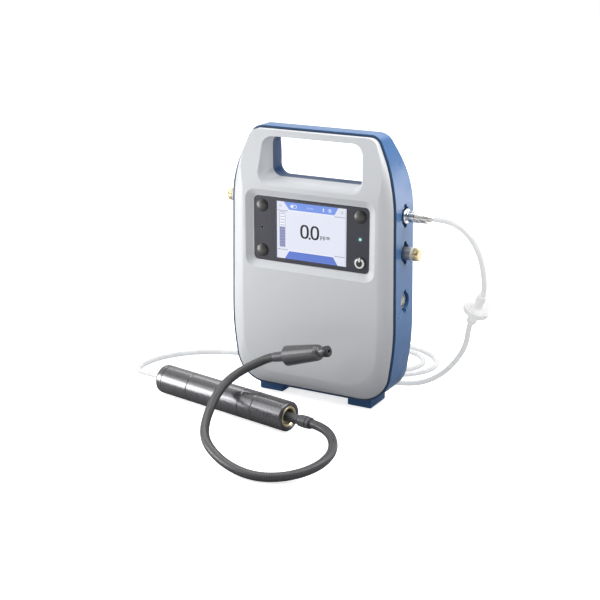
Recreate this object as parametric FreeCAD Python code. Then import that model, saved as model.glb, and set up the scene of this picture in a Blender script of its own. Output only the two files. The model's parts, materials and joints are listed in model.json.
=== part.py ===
"""Portable gas detector: a base unit on two feet, and a sampling wand with a gooseneck.

The frame is millimetres, with +X to the unit's right, -Y to its front and +Z up. Every
dimension is laid out from the floor under the middle of the base unit. write_parts() then moves
the origin to the floor under the middle of the whole set, hose and wand included, and writes
each sub-part to its own file.
"""
import FreeCAD, Part
import math
import os

Vector = FreeCAD.Vector

# Middle of the whole set on the floor, seen from under the middle of the base unit.
SET_MIDDLE = Vector(-16.0, -17.5, 0)

# Casing: where its planes lie along Y, and its wall.
FRONT_Y = -24.0
SEAM_Y = -17.0
REAR_Y = 23.0
WALL = 3.0
REAR_EDGE_RADIUS = 5.0
SEAM_STEP = 0.9
SEAT_DEPTH = 0.6
RIM_WIDTH = 0.9
RIM_INSET = 2.2
LIP_INSET = 3.2
LIP_DEPTH = 3.0

# Corners of the casing's right half as (x, z, corner radius), from the bottom up.
CASING_CORNERS = [(76.2, 9.0, 31.1), (84.3, 66.3, 237.0), (81.9, 211.6, 121.5), (62.2, 252.7, 12.7)]
FACE_CORNERS = [(66.8, 24.7, 30.0), (68.3, 80.0, 900.0), (67.6, 218.0, 90.0), (58.0, 247.0, 13.0)]
BEVEL_POWER = 1.4
BEVEL_STEPS = 6

# The casing gets thinner towards its top. The front leans back in two steps, each given as its
# height and its slope, and the rear face curves forward.
LEAN_STEPS = [(201.0, 0.07), (213.0, 0.14)]
REAR_CURVE_Z = 183.0
REAR_CURVE_RADIUS = 187.0

# Blocks that trim the casing reach this far.
CUTTER_HALF_WIDTH = 90.0
CUTTER_LOW_Z = -5.0
CUTTER_TOP_Z = 265.0

# Handle opening: half width, lowest and highest z, and corner radius at its throat.
THROAT_Y = -2.0
THROAT = (48.5, 205.8, 244.4, 9.0)
OPENING_FRONT = (54.8, 200.8, 246.6, 13.0)
OPENING_REAR = (56.0, 200.5, 246.5, 12.0)
SLEEVE_WALL = 2.5

# Feet.
FOOT_INNER_X = 34.3
FOOT_OUTER_X = 58.3
FOOT_FRONT_Y = -10.7
FOOT_REAR_Y = 19.0
FOOT_TOP_Z = 16.0

# Control panel, centred on x = 0, and the tray that holds it.
PANEL_HALF_WIDTH = 58.3
PANEL_LOW_Z = 130.5
PANEL_HIGH_Z = 190.1
PANEL_CORNER = 4.5
PANEL_FRONT_Y = -20.4
PANEL_THICKNESS = 1.6
TRAY_RIM = (65.4, 123.5, 196.7, 10.0)
TRAY_SLOPE = (59.2, 129.6, 191.0, 5.4)
TRAY_FLOOR = 2.0

# Display: a 3.5 inch 4:3 module.
SCREEN_WIDTH = 70.1
SCREEN_HEIGHT = 52.6
SCREEN_Z = 161.1
WINDOW_MARGIN = 0.9
WINDOW_THICKNESS = 1.2
DISPLAY_GLASS_THICKNESS = 3.0
DISPLAY_FRAME_THICKNESS = 2.8

# Buttons: three soft domes and the power button, all with the same travel.
BUTTON_X = 49.5
BUTTON_HIGH_Z = 181.4
BUTTON_LOW_Z = 139.5
BUTTON_RADIUS = 5.8
BUTTON_DOME = 1.3
BUTTON_FLANGE = 6.6
BUTTON_STEM = 2.0
BUTTON_TRAVEL = 0.8
RUNNING_GAP = 0.05
LIGHT_RADIUS = 1.2
SOUND_HOLE_RADIUS = 0.9

# Boards behind the panel.
KEYPAD_BOARD_Y = -13.2
BOARD_THICKNESS = 1.6
MAIN_BOARD_Y = -8.0

# Ports in the sides, all on one line.
PORT_Y = 2.0
INLET_Z = 181.6
RIGHT_PORT_Z = 148.0
SOCKET_Z = 103.4
LEFT_PORT_Z = 183.0
SIDE_X = 83.4
POCKET_FLOOR_X = 76.5
POCKET_BACK_X = 74.0
POCKET_RADIUS = 8.6
POCKET_LOBE_RADIUS = 3.2
POCKET_LOBE_OFFSET = 7.6
FITTING_NECK_RADIUS = 4.0
FITTING_BODY_RADIUS = 5.8
FITTING_BODY_END_X = 89.6
STUB_RADIUS = 4.0
STUB_END_X = 94.8
CAP_RADIUS = 6.1
CAP_START_X = 92.0
CAP_END_X = 97.0
SOCKET_OUTER_RADIUS = 7.6
SOCKET_BORE_RADIUS = 6.0
SOCKET_SEAT_RADIUS = 5.6
SOCKET_MOUTH_X = 81.0
SOCKET_INSERT_X = 76.8

# Inlet socket and its plug.
INLET_RING_END_X = 84.6
PLUG_START_X = 84.0
PLUG_SHOULDER_X = 92.0
COLLAR_END_X = 104.0
BARB_START_X = 108.0
BARB_END_X = 118.0
BARB_RADIUS = 1.95
PLUG_SHAFT_RADIUS = 3.0
COLLAR_RADIUS = 5.0

# Sample hose and its in-line filter.
HOSE_RADIUS = 2.5
HOSE_BORE = 1.6
FILTER_TOP = Vector(151.5, 16.1, 114.6)
FILTER_BOTTOM = Vector(138.4, 24.7, 86.4)
FILTER_DISC_RADIUS = 12.0
FILTER_RIM = 2.6

# Wand: a row of sleeves on a core tube. Places along it count from its far end.
WAND_RADIUS = 13.5
WAND_FAR_END = Vector(-132.8, -62.6, WAND_RADIUS)
WAND_YAW = -11.1
WAND_LENGTH = 153.5
WAND_SEAMS = [7.5, 40.0, 103.3, 119.0, WAND_LENGTH]
SLEEVE_GAP = 0.3
CORE_RADIUS = 11.2
NOSE_RING_RADIUS = 9.4
NOSE_RING_BORE = 7.2
BOOT_END = 174.0

# Gooseneck: one turn of a semi-rigid tube, from the wand round to the probe head.
NECK_RADIUS = 4.0
NECK_BORE = 1.6
NECK_END = 178.0
NECK_PATH = [
    Vector(66, -110.5, 14), Vector(83, -138.5, 11), Vector(82.5, -163.5, 8), Vector(68, -185.5, 5.3),
    Vector(45.5, -196, 4.4), Vector(17.5, -193, 6.5), Vector(-4.5, -181.5, 9.2),
    Vector(-28, -158, 12), Vector(-42.5, -129.5, 17.5), Vector(-47.5, -107.5, 26.5),
    Vector(-45, -90, 36), Vector(-35.5, -76.5, 44.2), Vector(-25, -70.3, 50.3)]
NECK_JOINTS = [5, 8, 12]
NECK_CORE = 2.4
KNUCKLE_RADIUS = 2.8
KNUCKLE_HALF_LENGTH = 2.4
NECK_HINGES = [Vector(0.334, 0.943, 0), Vector(0, 0, 1), Vector(0.348, -0.938, 0)]
NECK_GAP = 2.2

# Probe head, on the axis on which the gooseneck ends.
HEAD_START = Vector(2.8, -69.1, 60.5)
HEAD_AXIS = Vector(0.955, -0.099, 0.278)
HEAD_REAR_RADIUS = 9.1
HEAD_FRONT_RADIUS = 7.3
HEAD_TAPER_LENGTH = 33.0
HEAD_SHOULDER = 36.5
NOSE_RADIUS = 4.7
NOSE_END = 42.5
TIP_END = 46.5
TIP_HOLE_RADIUS = 1.4
PROBE_SLEEVE_RADIUS = 4.6
PROBE_SLEEVE_LENGTH = 15.0

# Screws that hold the shells together, and the battery door's own screws, as (x, z).
SCREW_PLACES = [(68.0, 36.0), (73.0, 125.0), (66.5, 214.0)]
SCREW_HEAD_RADIUS = 2.9
SCREW_RADIUS = 1.5
SCREW_SINK = 5.0
BOSS_RADIUS = 4.2
BOSS_SPLIT_Y = -4.0
DOOR_HALF_WIDTH = 46.0
DOOR_LOW_Z = 18.0
DOOR_HIGH_Z = 80.0
DOOR_THICKNESS = 2.0
DOOR_SCREW_X = 41.0
BAY_HALF_WIDTH = 35.0
BAY_LOW_Z = 23.0
BAY_HIGH_Z = 76.0


# ---------------------------------------------------------------- shared shapes

def mirrored_corners(right_half):
    """Corners of a closed outline that is the same on both sides of x = 0."""
    left_half = [(-x, z, radius) for x, z, radius in reversed(right_half)]
    return right_half + left_half


def inset_corners(corners, inset):
    """The same convex outline, moved inwards by inset; a negative inset moves it outwards."""
    moved = []
    count = len(corners)
    for index, (x, z, radius) in enumerate(corners):
        before = corners[index - 1]
        after = corners[(index + 1) % count]
        here = Vector(x, 0, z)
        to_before = (Vector(before[0], 0, before[1]) - here).normalize()
        to_after = (Vector(after[0], 0, after[1]) - here).normalize()
        half_angle = to_before.getAngle(to_after) / 2
        inwards = (to_before + to_after).normalize()
        corner = here + inwards * (inset / math.sin(half_angle))
        moved.append((corner.x, corner.z, max(radius - inset, 0.5)))
    return moved


def outline(corners, y):
    """Closed wire in the plane at y, with each corner rounded to its own radius."""
    starts = []
    middles = []
    ends = []
    count = len(corners)
    for index, (x, z, radius) in enumerate(corners):
        before = corners[index - 1]
        after = corners[(index + 1) % count]
        here = Vector(x, y, z)
        to_before = (Vector(before[0], y, before[1]) - here).normalize()
        to_after = (Vector(after[0], y, after[1]) - here).normalize()
        half_angle = to_before.getAngle(to_after) / 2
        reach = radius / math.tan(half_angle)
        inwards = (to_before + to_after).normalize()
        starts.append(here + to_before * reach)
        ends.append(here + to_after * reach)
        middles.append(here + inwards * (radius / math.sin(half_angle) - radius))
    edges = []
    for index in range(count):
        edges.append(Part.Arc(starts[index], middles[index], ends[index]).toShape())
        edges.append(Part.LineSegment(ends[index], starts[(index + 1) % count]).toShape())
    return Part.Wire(edges)


def prism(corners, y_from, y_to):
    """Solid with a rounded outline, between two planes along Y."""
    face = Part.Face(outline(corners, y_from))
    return face.extrude(Vector(0, y_to - y_from, 0))


def skin(sections, ruled=True):
    """Solid through (corners, y) sections."""
    wires = [outline(corners, y) for corners, y in sections]
    return Part.makeLoft(wires, True, ruled)


def slab_corners(half_width, low_z, high_z, radius):
    """Corners of a rounded rectangle that is centred on x = 0."""
    return mirrored_corners([(half_width, low_z, radius), (half_width, high_z, radius)])


def box(low, high):
    """Box between two opposite corners."""
    size = [b - a for a, b in zip(low, high)]
    return Part.makeBox(size[0], size[1], size[2], Vector(*low))


def rod(radius, start, end):
    """Cylinder between two points."""
    axis = end - start
    return Part.makeCylinder(radius, axis.Length, start, axis)


def rod_y(radius, x, z, y_from, y_to):
    """Cylinder along Y."""
    return rod(radius, Vector(x, y_from, z), Vector(x, y_to, z))


def rod_x(radius, z, x_from, x_to):
    """Cylinder along X on the line of the ports."""
    return rod(radius, Vector(x_from, PORT_Y, z), Vector(x_to, PORT_Y, z))


def turned(profile, start, axis):
    """Solid of revolution from (along, radius) points, standing on start and pointing along axis."""
    points = [Vector(radius, 0, along) for along, radius in profile]
    points.append(points[0])
    face = Part.Face(Part.makePolygon(points))
    solid = face.revolve(Vector(0, 0, 0), Vector(0, 0, 1), 360)
    solid.Placement = FreeCAD.Placement(start, FreeCAD.Rotation(Vector(0, 0, 1), axis))
    return solid


def sweep(radius, path_edge):
    """Round bar of the given radius along one curved edge."""
    start = path_edge.valueAt(path_edge.FirstParameter)
    direction = path_edge.tangentAt(path_edge.FirstParameter)
    ring = Part.Wire(Part.Circle(start, direction, radius).toShape())
    return Part.Wire(path_edge).makePipeShell([ring], True, True)


def curve_through(points, first_direction, last_direction):
    """Smooth curve through points that leaves and arrives in the given unit directions."""
    lengths = [0.0]
    for point, following in zip(points, points[1:]):
        lengths.append(lengths[-1] + point.distanceToPoint(following))
    curve = Part.BSplineCurve()
    curve.interpolate(
        Points=points, Parameters=lengths, InitialTangent=first_direction,
        FinalTangent=last_direction, Scale=False)
    return curve


def mirror_x(shape):
    """The same shape on the other side of x = 0."""
    return shape.mirror(Vector(0, 0, 0), Vector(1, 0, 0))


def both_sides(shape):
    """A shape and its mirror image."""
    return [shape, mirror_x(shape)]


def fuse_all(shapes):
    """One shape out of touching shapes, with its seams removed."""
    whole = shapes[0]
    for shape in shapes[1:]:
        whole = whole.fuse(shape)
    return whole.removeSplitter()


def cut_all(shape, tools):
    """A shape with every tool taken out of it."""
    for tool in tools:
        shape = shape.cut(tool)
    return shape


# ---------------------------------------------------------------- casing

CASING = mirrored_corners(CASING_CORNERS)
FACE = mirrored_corners(FACE_CORNERS)


def ahead_of(plane_y):
    """Everything in front of a face at plane_y whose upper part leans back like the casing's front."""
    low_z, low_slope = LEAN_STEPS[0]
    high_z, high_slope = LEAN_STEPS[1]
    high_y = plane_y + low_slope * (high_z - low_z)
    top_y = high_y + high_slope * (CUTTER_TOP_Z - high_z)
    line = [
        (plane_y - 30, CUTTER_LOW_Z), (plane_y, CUTTER_LOW_Z), (plane_y, low_z), (high_y, high_z),
        (top_y, CUTTER_TOP_Z), (plane_y - 30, CUTTER_TOP_Z)]
    points = [Vector(-CUTTER_HALF_WIDTH, y, z) for y, z in line + line[:1]]
    return Part.Face(Part.makePolygon(points)).extrude(Vector(2 * CUTTER_HALF_WIDTH, 0, 0))


def rear_y(z):
    """Place of the rear face at a height."""
    climb = max(z - REAR_CURVE_Z, 0)
    return REAR_Y - REAR_CURVE_RADIUS + math.sqrt(REAR_CURVE_RADIUS ** 2 - climb ** 2)


def behind_rear(depth):
    """Everything behind a face that lies depth inside the rear face."""
    middle_z = (REAR_CURVE_Z + CUTTER_TOP_Z) / 2
    start, middle, end = [
        Vector(-CUTTER_HALF_WIDTH, rear_y(z) - depth, z) for z in (REAR_CURVE_Z, middle_z, CUTTER_TOP_Z)]
    far_top = Vector(-CUTTER_HALF_WIDTH, REAR_Y + 10, CUTTER_TOP_Z)
    far_low = Vector(-CUTTER_HALF_WIDTH, REAR_Y + 10, CUTTER_LOW_Z)
    near_low = Vector(-CUTTER_HALF_WIDTH, REAR_Y - depth, CUTTER_LOW_Z)
    edges = [Part.Arc(start, middle, end).toShape()]
    edges += Part.makePolygon([end, far_top, far_low, near_low, start]).Edges
    return Part.Face(Part.Wire(edges)).extrude(Vector(2 * CUTTER_HALF_WIDTH, 0, 0))


def casing_block(inset, front_y, rear_depth):
    """Block with the casing's outline, from its leaning front to its curved rear."""
    block = prism(inset_corners(CASING, inset), front_y, REAR_Y + 5)
    return cut_all(block, [ahead_of(front_y), behind_rear(rear_depth)])


def bevel_section(turn, start_corners, end_corners, start_y, end_y):
    """One section of the casing's rolled edge; turn runs from 0 at the seam to 90 degrees."""
    across = 1 - math.cos(math.radians(turn)) ** (2 / BEVEL_POWER) if turn < 90 else 1.0
    along = math.sin(math.radians(turn)) ** (2 / BEVEL_POWER)
    corners = []
    for start, end in zip(start_corners, end_corners):
        corners.append(tuple(a + (b - a) * across for a, b in zip(start, end)))
    return corners, start_y + (end_y - start_y) * along


def front_block(inset, front_y):
    """Solid with the outer shape of the front shell, moved inwards by inset."""
    start = inset_corners(CASING, RIM_INSET + inset)
    end = inset_corners(FACE, inset)
    seam = SEAM_Y - SEAM_STEP
    turns = [90 * step / BEVEL_STEPS for step in range(BEVEL_STEPS + 1)]
    bevel = skin([bevel_section(turn, start, end, seam, front_y) for turn in turns], False)
    band = prism(start, seam, seam + 8).common(ahead_of(seam))
    return bevel.fuse(band).cut(ahead_of(front_y))


def opening_tool(grow, y_from, y_to, ends):
    """Flared solid that fills the handle opening between the throat and one face."""
    throat, mouth = ends
    sections = []
    for share, flare in ((0.0, 0.0), (0.6, 0.12), (0.85, 0.35), (0.95, 0.62), (1.0, 1.0)):
        size = [a + (b - a) * flare for a, b in zip(throat, mouth)]
        corners = inset_corners(slab_corners(*size), -grow)
        sections.append((corners, y_from + (y_to - y_from) * share))
    return skin(sections, False)


def screw_places():
    """Every shell screw, on both sides."""
    return [(side * x, z) for x, z in SCREW_PLACES for side in (1, -1)]


def port_pocket(z, side, x_from, x_to, grow=0.0):
    """Round pocket with a small lobe above and below, for one side port."""
    shapes = [rod_x(POCKET_RADIUS + grow, z, side * x_from, side * x_to)]
    for offset in (-POCKET_LOBE_OFFSET, POCKET_LOBE_OFFSET):
        shapes.append(rod_x(POCKET_LOBE_RADIUS + grow, z + offset, side * x_from, side * x_to))
    return fuse_all(shapes)


PORTS = [
    (INLET_Z, 1, FITTING_NECK_RADIUS), (RIGHT_PORT_Z, 1, FITTING_NECK_RADIUS),
    (SOCKET_Z, 1, SOCKET_OUTER_RADIUS), (LEFT_PORT_Z, -1, FITTING_NECK_RADIUS)]


def rear_shell():
    """Blue rear half of the casing: tub, feet, handle tunnel, port pockets and screw bosses."""
    outer = casing_block(0, SEAM_Y, 0)
    rear_edges = [edge for edge in outer.Edges if on_rear_face(edge)]
    outer = outer.makeFillet(REAR_EDGE_RADIUS, rear_edges)
    cavity = casing_block(WALL, SEAM_Y - 1, WALL)
    seat = casing_block(RIM_WIDTH, SEAM_Y - 1, 0).cut(casing_block(0, SEAM_Y + SEAT_DEPTH, -1))
    shell = outer.cut(cavity).cut(seat)
    inside = casing_block(WALL / 2, SEAM_Y + SEAT_DEPTH, WALL / 2)
    added = [opening_tool(SLEEVE_WALL, THROAT_Y, REAR_Y + 0.5, (THROAT, OPENING_REAR))]
    for z, side, _ in PORTS:
        added.append(port_pocket(z, side, POCKET_BACK_X, SIDE_X, 2.0))
    for x, z in screw_places():
        added.append(rod_y(BOSS_RADIUS, x, z, BOSS_SPLIT_Y, REAR_Y - 1))
    for side in (1, -1):
        added.append(rod_y(BOSS_RADIUS, side * DOOR_SCREW_X, door_screw_z(), REAR_Y - 10, REAR_Y - 1))
    added = [shape.common(inside) for shape in added]
    foot = box((FOOT_INNER_X, FOOT_FRONT_Y, 0), (FOOT_OUTER_X, FOOT_REAR_Y, FOOT_TOP_Z))
    foot = foot.makeChamfer(1.0, [edge for edge in foot.Edges if edge.BoundBox.ZMax < 0.01])
    feet = [part.cut(cavity) for part in both_sides(foot)]
    shell = fuse_all([shell] + added + feet)
    return cut_all(shell, rear_shell_cuts())


def on_rear_face(edge):
    """Whether an edge lies on the rear face."""
    middle = edge.valueAt((edge.FirstParameter + edge.LastParameter) / 2)
    return abs(middle.y - rear_y(middle.z)) < 0.01


def door_screw_z():
    """Height of the battery door's screws."""
    return (DOOR_LOW_Z + DOOR_HIGH_Z) / 2


def rear_shell_cuts():
    """Everything that is taken out of the rear shell after its ribs and bosses are in."""
    cuts = [opening_tool(0, THROAT_Y, REAR_Y + 0.01, (THROAT, OPENING_REAR))]
    cuts.append(prism(slab_corners(*THROAT), SEAM_Y - 1, THROAT_Y + 0.01))
    for z, side, neck in PORTS:
        cuts.append(port_pocket(z, side, POCKET_FLOOR_X, SIDE_X + 5))
        cuts.append(rod_x(neck, z, side * (POCKET_BACK_X - 1), side * (POCKET_FLOOR_X + 1)))
    for x, z in screw_places():
        cuts.append(rod_y(SCREW_RADIUS + 0.2, x, z, BOSS_SPLIT_Y - 1, REAR_Y + 1))
        cuts.append(rod_y(SCREW_HEAD_RADIUS + 0.3, x, z, REAR_Y - SCREW_SINK, REAR_Y + 1))
    door = slab_corners(DOOR_HALF_WIDTH, DOOR_LOW_Z, DOOR_HIGH_Z, 6)
    cuts.append(prism(door, REAR_Y - DOOR_THICKNESS, REAR_Y + 1))
    bay = slab_corners(BAY_HALF_WIDTH, BAY_LOW_Z, BAY_HIGH_Z, 3)
    cuts.append(prism(bay, REAR_Y - 6, REAR_Y))
    for side in (1, -1):
        cuts.append(rod_y(1.3, side * DOOR_SCREW_X, door_screw_z(), REAR_Y - 9, REAR_Y))
    plate = slab_corners(38, 96, 136, 4)
    cuts.append(prism(plate, REAR_Y - 0.5, REAR_Y + 1))
    for index in range(4):
        groove_z = 160 + 9 * index
        groove = slab_corners(30, groove_z - 1.5, groove_z + 1.5, 1.4)
        cuts.append(prism(groove, REAR_Y - 0.9, REAR_Y + 1))
    return cuts


def front_shell():
    """Grey front half of the casing: bevelled face, handle sleeve, panel tray and screw bosses."""
    outer = front_block(0, FRONT_Y)
    hollow = front_block(WALL, FRONT_Y + WALL - 0.4)
    shell = outer.cut(hollow)
    lip_end = SEAM_Y + LIP_DEPTH
    lip = prism(inset_corners(CASING, LIP_INSET), SEAM_Y - SEAM_STEP, lip_end + 8)
    lip = lip.cut(prism(inset_corners(CASING, LIP_INSET + 1.8), SEAM_Y - 2, lip_end + 9))
    lip = lip.common(ahead_of(lip_end))
    tray = skin([
        (inset_corners(slab_corners(*TRAY_RIM), -TRAY_FLOOR), FRONT_Y + 1.5),
        (inset_corners(slab_corners(*TRAY_SLOPE), -TRAY_FLOOR), PANEL_FRONT_Y + TRAY_FLOOR),
        (inset_corners(slab_corners(*TRAY_SLOPE), -TRAY_FLOOR), tray_back_y())])
    sleeve = opening_tool(SLEEVE_WALL, THROAT_Y, FRONT_Y + 0.5, (THROAT, OPENING_FRONT))
    room = fuse_all([outer, prism(inset_corners(CASING, LIP_INSET), SEAM_Y - SEAM_STEP, 0)])
    added = [tray.common(room), sleeve.common(room), lip]
    for x, z in screw_places():
        boss = rod_y(BOSS_RADIUS - 0.2, x, z, FRONT_Y, BOSS_SPLIT_Y - 0.1)
        added.append(boss.common(room))
    for x, z in board_spacer_places():
        added.append(rod_y(2.4, x, z, tray_back_y() - 0.5, KEYPAD_BOARD_Y))
    shell = fuse_all([shell] + added)
    return cut_all(shell, front_shell_cuts())


def tray_back_y():
    """Back face of the panel tray."""
    return PANEL_FRONT_Y + PANEL_THICKNESS + TRAY_FLOOR


def front_shell_cuts():
    """Everything that is taken out of the front shell."""
    panel_back_y = PANEL_FRONT_Y + PANEL_THICKNESS
    cuts = [opening_tool(0, THROAT_Y + 0.01, FRONT_Y - 0.01, (THROAT, OPENING_FRONT))]
    cuts.append(skin([(slab_corners(*TRAY_RIM), FRONT_Y - 0.01), (slab_corners(*TRAY_SLOPE), PANEL_FRONT_Y)]))
    pocket = inset_corners(panel_corners(), -0.15)
    cuts.append(prism(pocket, PANEL_FRONT_Y - 0.5, panel_back_y))
    half_width = SCREEN_WIDTH / 2 + WINDOW_MARGIN + 0.7
    half_height = SCREEN_HEIGHT / 2 + WINDOW_MARGIN + 0.7
    window = slab_corners(half_width, SCREEN_Z - half_height, SCREEN_Z + half_height, 1)
    cuts.append(prism(window, panel_back_y - 1, tray_back_y() + 1))
    for x, z in button_places():
        cuts.append(rod_y(BUTTON_FLANGE + 0.4, x, z, panel_back_y - 1, tray_back_y() + 1))
    cuts.append(rod_y(LIGHT_RADIUS, BUTTON_X, SCREEN_Z, panel_back_y - 1, tray_back_y() + 1))
    cuts.append(rod_y(SOUND_HOLE_RADIUS, -BUTTON_X, SCREEN_Z, panel_back_y - 1, tray_back_y() + 1))
    for x, z in screw_places():
        cuts.append(rod_y(SCREW_RADIUS, x, z, BOSS_SPLIT_Y - 9, BOSS_SPLIT_Y + 1))
    return cuts


def shell_gasket():
    """Dark seal between the two shells, which shows as a line all round the casing."""
    seal = prism(inset_corners(CASING, RIM_WIDTH + 0.03), SEAM_Y - 2, SEAM_Y + 10)
    seal = seal.cut(prism(inset_corners(CASING, LIP_INSET - 0.1), SEAM_Y - 3, SEAM_Y + 11))
    return seal.common(ahead_of(SEAM_Y + SEAT_DEPTH)).cut(ahead_of(SEAM_Y - SEAM_STEP))


def shell_screws():
    """Six pan-head screws that come in from the rear."""
    screws = []
    for x, z in screw_places():
        head_front_y = REAR_Y - SCREW_SINK
        head = rod_y(SCREW_HEAD_RADIUS, x, z, head_front_y, head_front_y + 2.2)
        socket = rod_y(1.2, x, z, head_front_y + 1.0, head_front_y + 3)
        shank = rod_y(SCREW_RADIUS - 0.02, x, z, BOSS_SPLIT_Y - 8, head_front_y)
        screws.append(head.cut(socket).fuse(shank))
    return Part.makeCompound(screws)


def battery_door():
    """Screwed cover over the battery bay, with a finger groove across it."""
    corners = inset_corners(slab_corners(DOOR_HALF_WIDTH, DOOR_LOW_Z, DOOR_HIGH_Z, 6), 0.25)
    door = prism(corners, REAR_Y - DOOR_THICKNESS, REAR_Y)
    rib = slab_corners(BAY_HALF_WIDTH - 0.4, BAY_LOW_Z + 0.4, BAY_HIGH_Z - 0.4, 3)
    rib = prism(rib, REAR_Y - 4, REAR_Y - DOOR_THICKNESS)
    door = fuse_all([door, rib])
    for side in (1, -1):
        x = side * DOOR_SCREW_X
        door = door.cut(rod_y(1.7, x, door_screw_z(), REAR_Y - 5, REAR_Y + 1))
        door = door.cut(rod_y(3.0, x, door_screw_z(), REAR_Y - 1.0, REAR_Y + 1))
    for index in range(5):
        groove_z = DOOR_HIGH_Z - 8 - 2.6 * index
        groove = slab_corners(14, groove_z - 0.7, groove_z + 0.7, 0.6)
        door = door.cut(prism(groove, REAR_Y - 0.6, REAR_Y + 1))
    return door


def door_screws():
    """Two flat screws in the battery door."""
    screws = []
    for side in (1, -1):
        x = side * DOOR_SCREW_X
        head = rod_y(2.9, x, door_screw_z(), REAR_Y - 1.0, REAR_Y + 0.2)
        slot = box((x - 2.2, REAR_Y - 0.4, door_screw_z() - 0.4), (x + 2.2, REAR_Y + 1, door_screw_z() + 0.4))
        shank = rod_y(1.28, x, door_screw_z(), REAR_Y - 8.5, REAR_Y - 1.0)
        screws.append(head.cut(slot).fuse(shank))
    return Part.makeCompound(screws)


# ---------------------------------------------------------------- panel and boards

def panel_corners():
    """Outline of the control panel."""
    return slab_corners(PANEL_HALF_WIDTH, PANEL_LOW_Z, PANEL_HIGH_Z, PANEL_CORNER)


def button_places():
    """Centres of the three dome buttons and, last, of the power button."""
    return [
        (-BUTTON_X, BUTTON_HIGH_Z), (-BUTTON_X, BUTTON_LOW_Z), (BUTTON_X, BUTTON_HIGH_Z),
        (BUTTON_X, BUTTON_LOW_Z)]


def window_corners(grow=0.0):
    """Outline of the display window."""
    half_width = SCREEN_WIDTH / 2 + WINDOW_MARGIN + grow
    half_height = SCREEN_HEIGHT / 2 + WINDOW_MARGIN + grow
    return slab_corners(half_width, SCREEN_Z - half_height, SCREEN_Z + half_height, 1.2)


def display_bezel():
    """Dark panel around the display, with holes for its buttons, light and sounder."""
    panel = prism(panel_corners(), PANEL_FRONT_Y, PANEL_FRONT_Y + PANEL_THICKNESS)
    front = [edge for edge in panel.Edges if edge.BoundBox.YMax < PANEL_FRONT_Y + 0.01]
    panel = panel.makeFillet(0.5, front)
    y_from = PANEL_FRONT_Y - 1
    y_to = PANEL_FRONT_Y + PANEL_THICKNESS + 1
    cuts = [prism(window_corners(0.1), y_from, y_to)]
    for x, z in button_places():
        cuts.append(rod_y(BUTTON_RADIUS + RUNNING_GAP, x, z, y_from, y_to))
    cuts.append(rod_y(LIGHT_RADIUS, BUTTON_X, SCREEN_Z, y_from, y_to))
    cuts.append(rod_y(SOUND_HOLE_RADIUS, -BUTTON_X, SCREEN_Z, y_from, y_to))
    return cut_all(panel, cuts)


def display_window():
    """Clear pane, level with the panel's face."""
    return prism(window_corners(), PANEL_FRONT_Y, PANEL_FRONT_Y + WINDOW_THICKNESS)


def display_module():
    """Display glass against the window, in a wider frame behind the tray."""
    glass_y = PANEL_FRONT_Y + WINDOW_THICKNESS
    frame_y = glass_y + DISPLAY_GLASS_THICKNESS
    glass = prism(window_corners(), glass_y, frame_y)
    frame = prism(window_corners(4.0), frame_y, frame_y + DISPLAY_FRAME_THICKNESS)
    return fuse_all([glass, frame])


def button(index):
    """One button: domed cap, flange behind the panel and stem to its switch."""
    x, z = button_places()[index]
    panel_back_y = PANEL_FRONT_Y + PANEL_THICKNESS
    rim_y = PANEL_FRONT_Y - 0.5
    sphere_radius = (BUTTON_RADIUS ** 2 + BUTTON_DOME ** 2) / (2 * BUTTON_DOME)
    centre = Vector(x, rim_y - BUTTON_DOME + sphere_radius, z)
    cap = rod_y(BUTTON_RADIUS, x, z, rim_y - BUTTON_DOME, panel_back_y + RUNNING_GAP)
    cap = cap.common(Part.makeSphere(sphere_radius, centre))
    flange = rod_y(BUTTON_FLANGE, x, z, panel_back_y + RUNNING_GAP, panel_back_y + 1.05)
    stem = rod_y(BUTTON_STEM, x, z, panel_back_y + 1.05, switch_front_y() - BUTTON_TRAVEL - 0.05)
    return fuse_all([cap, flange, stem])


def switch_front_y():
    """Front face of the switches under the buttons."""
    return KEYPAD_BOARD_Y - 1.85


def keypad_board():
    """Board behind the display that carries the switches, the light and the sounder."""
    return prism(slab_corners(57, 132, 189.5, 2), KEYPAD_BOARD_Y, KEYPAD_BOARD_Y + BOARD_THICKNESS)


def keypad_switches():
    """Four small switches, one under each button."""
    switches = []
    for x, z in button_places():
        low = (x - 3, switch_front_y() + 0.6, z - 3)
        high = (x + 3, KEYPAD_BOARD_Y, z + 3)
        plunger = rod_y(1.6, x, z, switch_front_y(), switch_front_y() + 0.6)
        switches.append(box(low, high).fuse(plunger))
    return Part.makeCompound(switches)


def status_light():
    """Light guide from the keypad board to the panel's face."""
    guide = rod_y(LIGHT_RADIUS - 0.02, BUTTON_X, SCREEN_Z, PANEL_FRONT_Y, KEYPAD_BOARD_Y - 1)
    lamp = box((BUTTON_X - 1.6, KEYPAD_BOARD_Y - 1, SCREEN_Z - 1), (BUTTON_X + 1.6, KEYPAD_BOARD_Y, SCREEN_Z + 1))
    return guide.fuse(lamp)


def buzzer():
    """Round sounder behind its hole in the panel."""
    body = rod_y(6.0, -BUTTON_X, SCREEN_Z, tray_back_y(), KEYPAD_BOARD_Y)
    return body.cut(rod_y(SOUND_HOLE_RADIUS, -BUTTON_X, SCREEN_Z, tray_back_y() - 1, tray_back_y() + 1.2))


def board_spacer_places():
    """Corners where the boards are held."""
    return [(side * 53.5, z) for side in (1, -1) for z in (148.5, 172.5)]


def main_board():
    """Main circuit board, behind the keypad board."""
    board = prism(slab_corners(60, 92, 192, 2), MAIN_BOARD_Y, MAIN_BOARD_Y + BOARD_THICKNESS)
    return board


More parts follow.
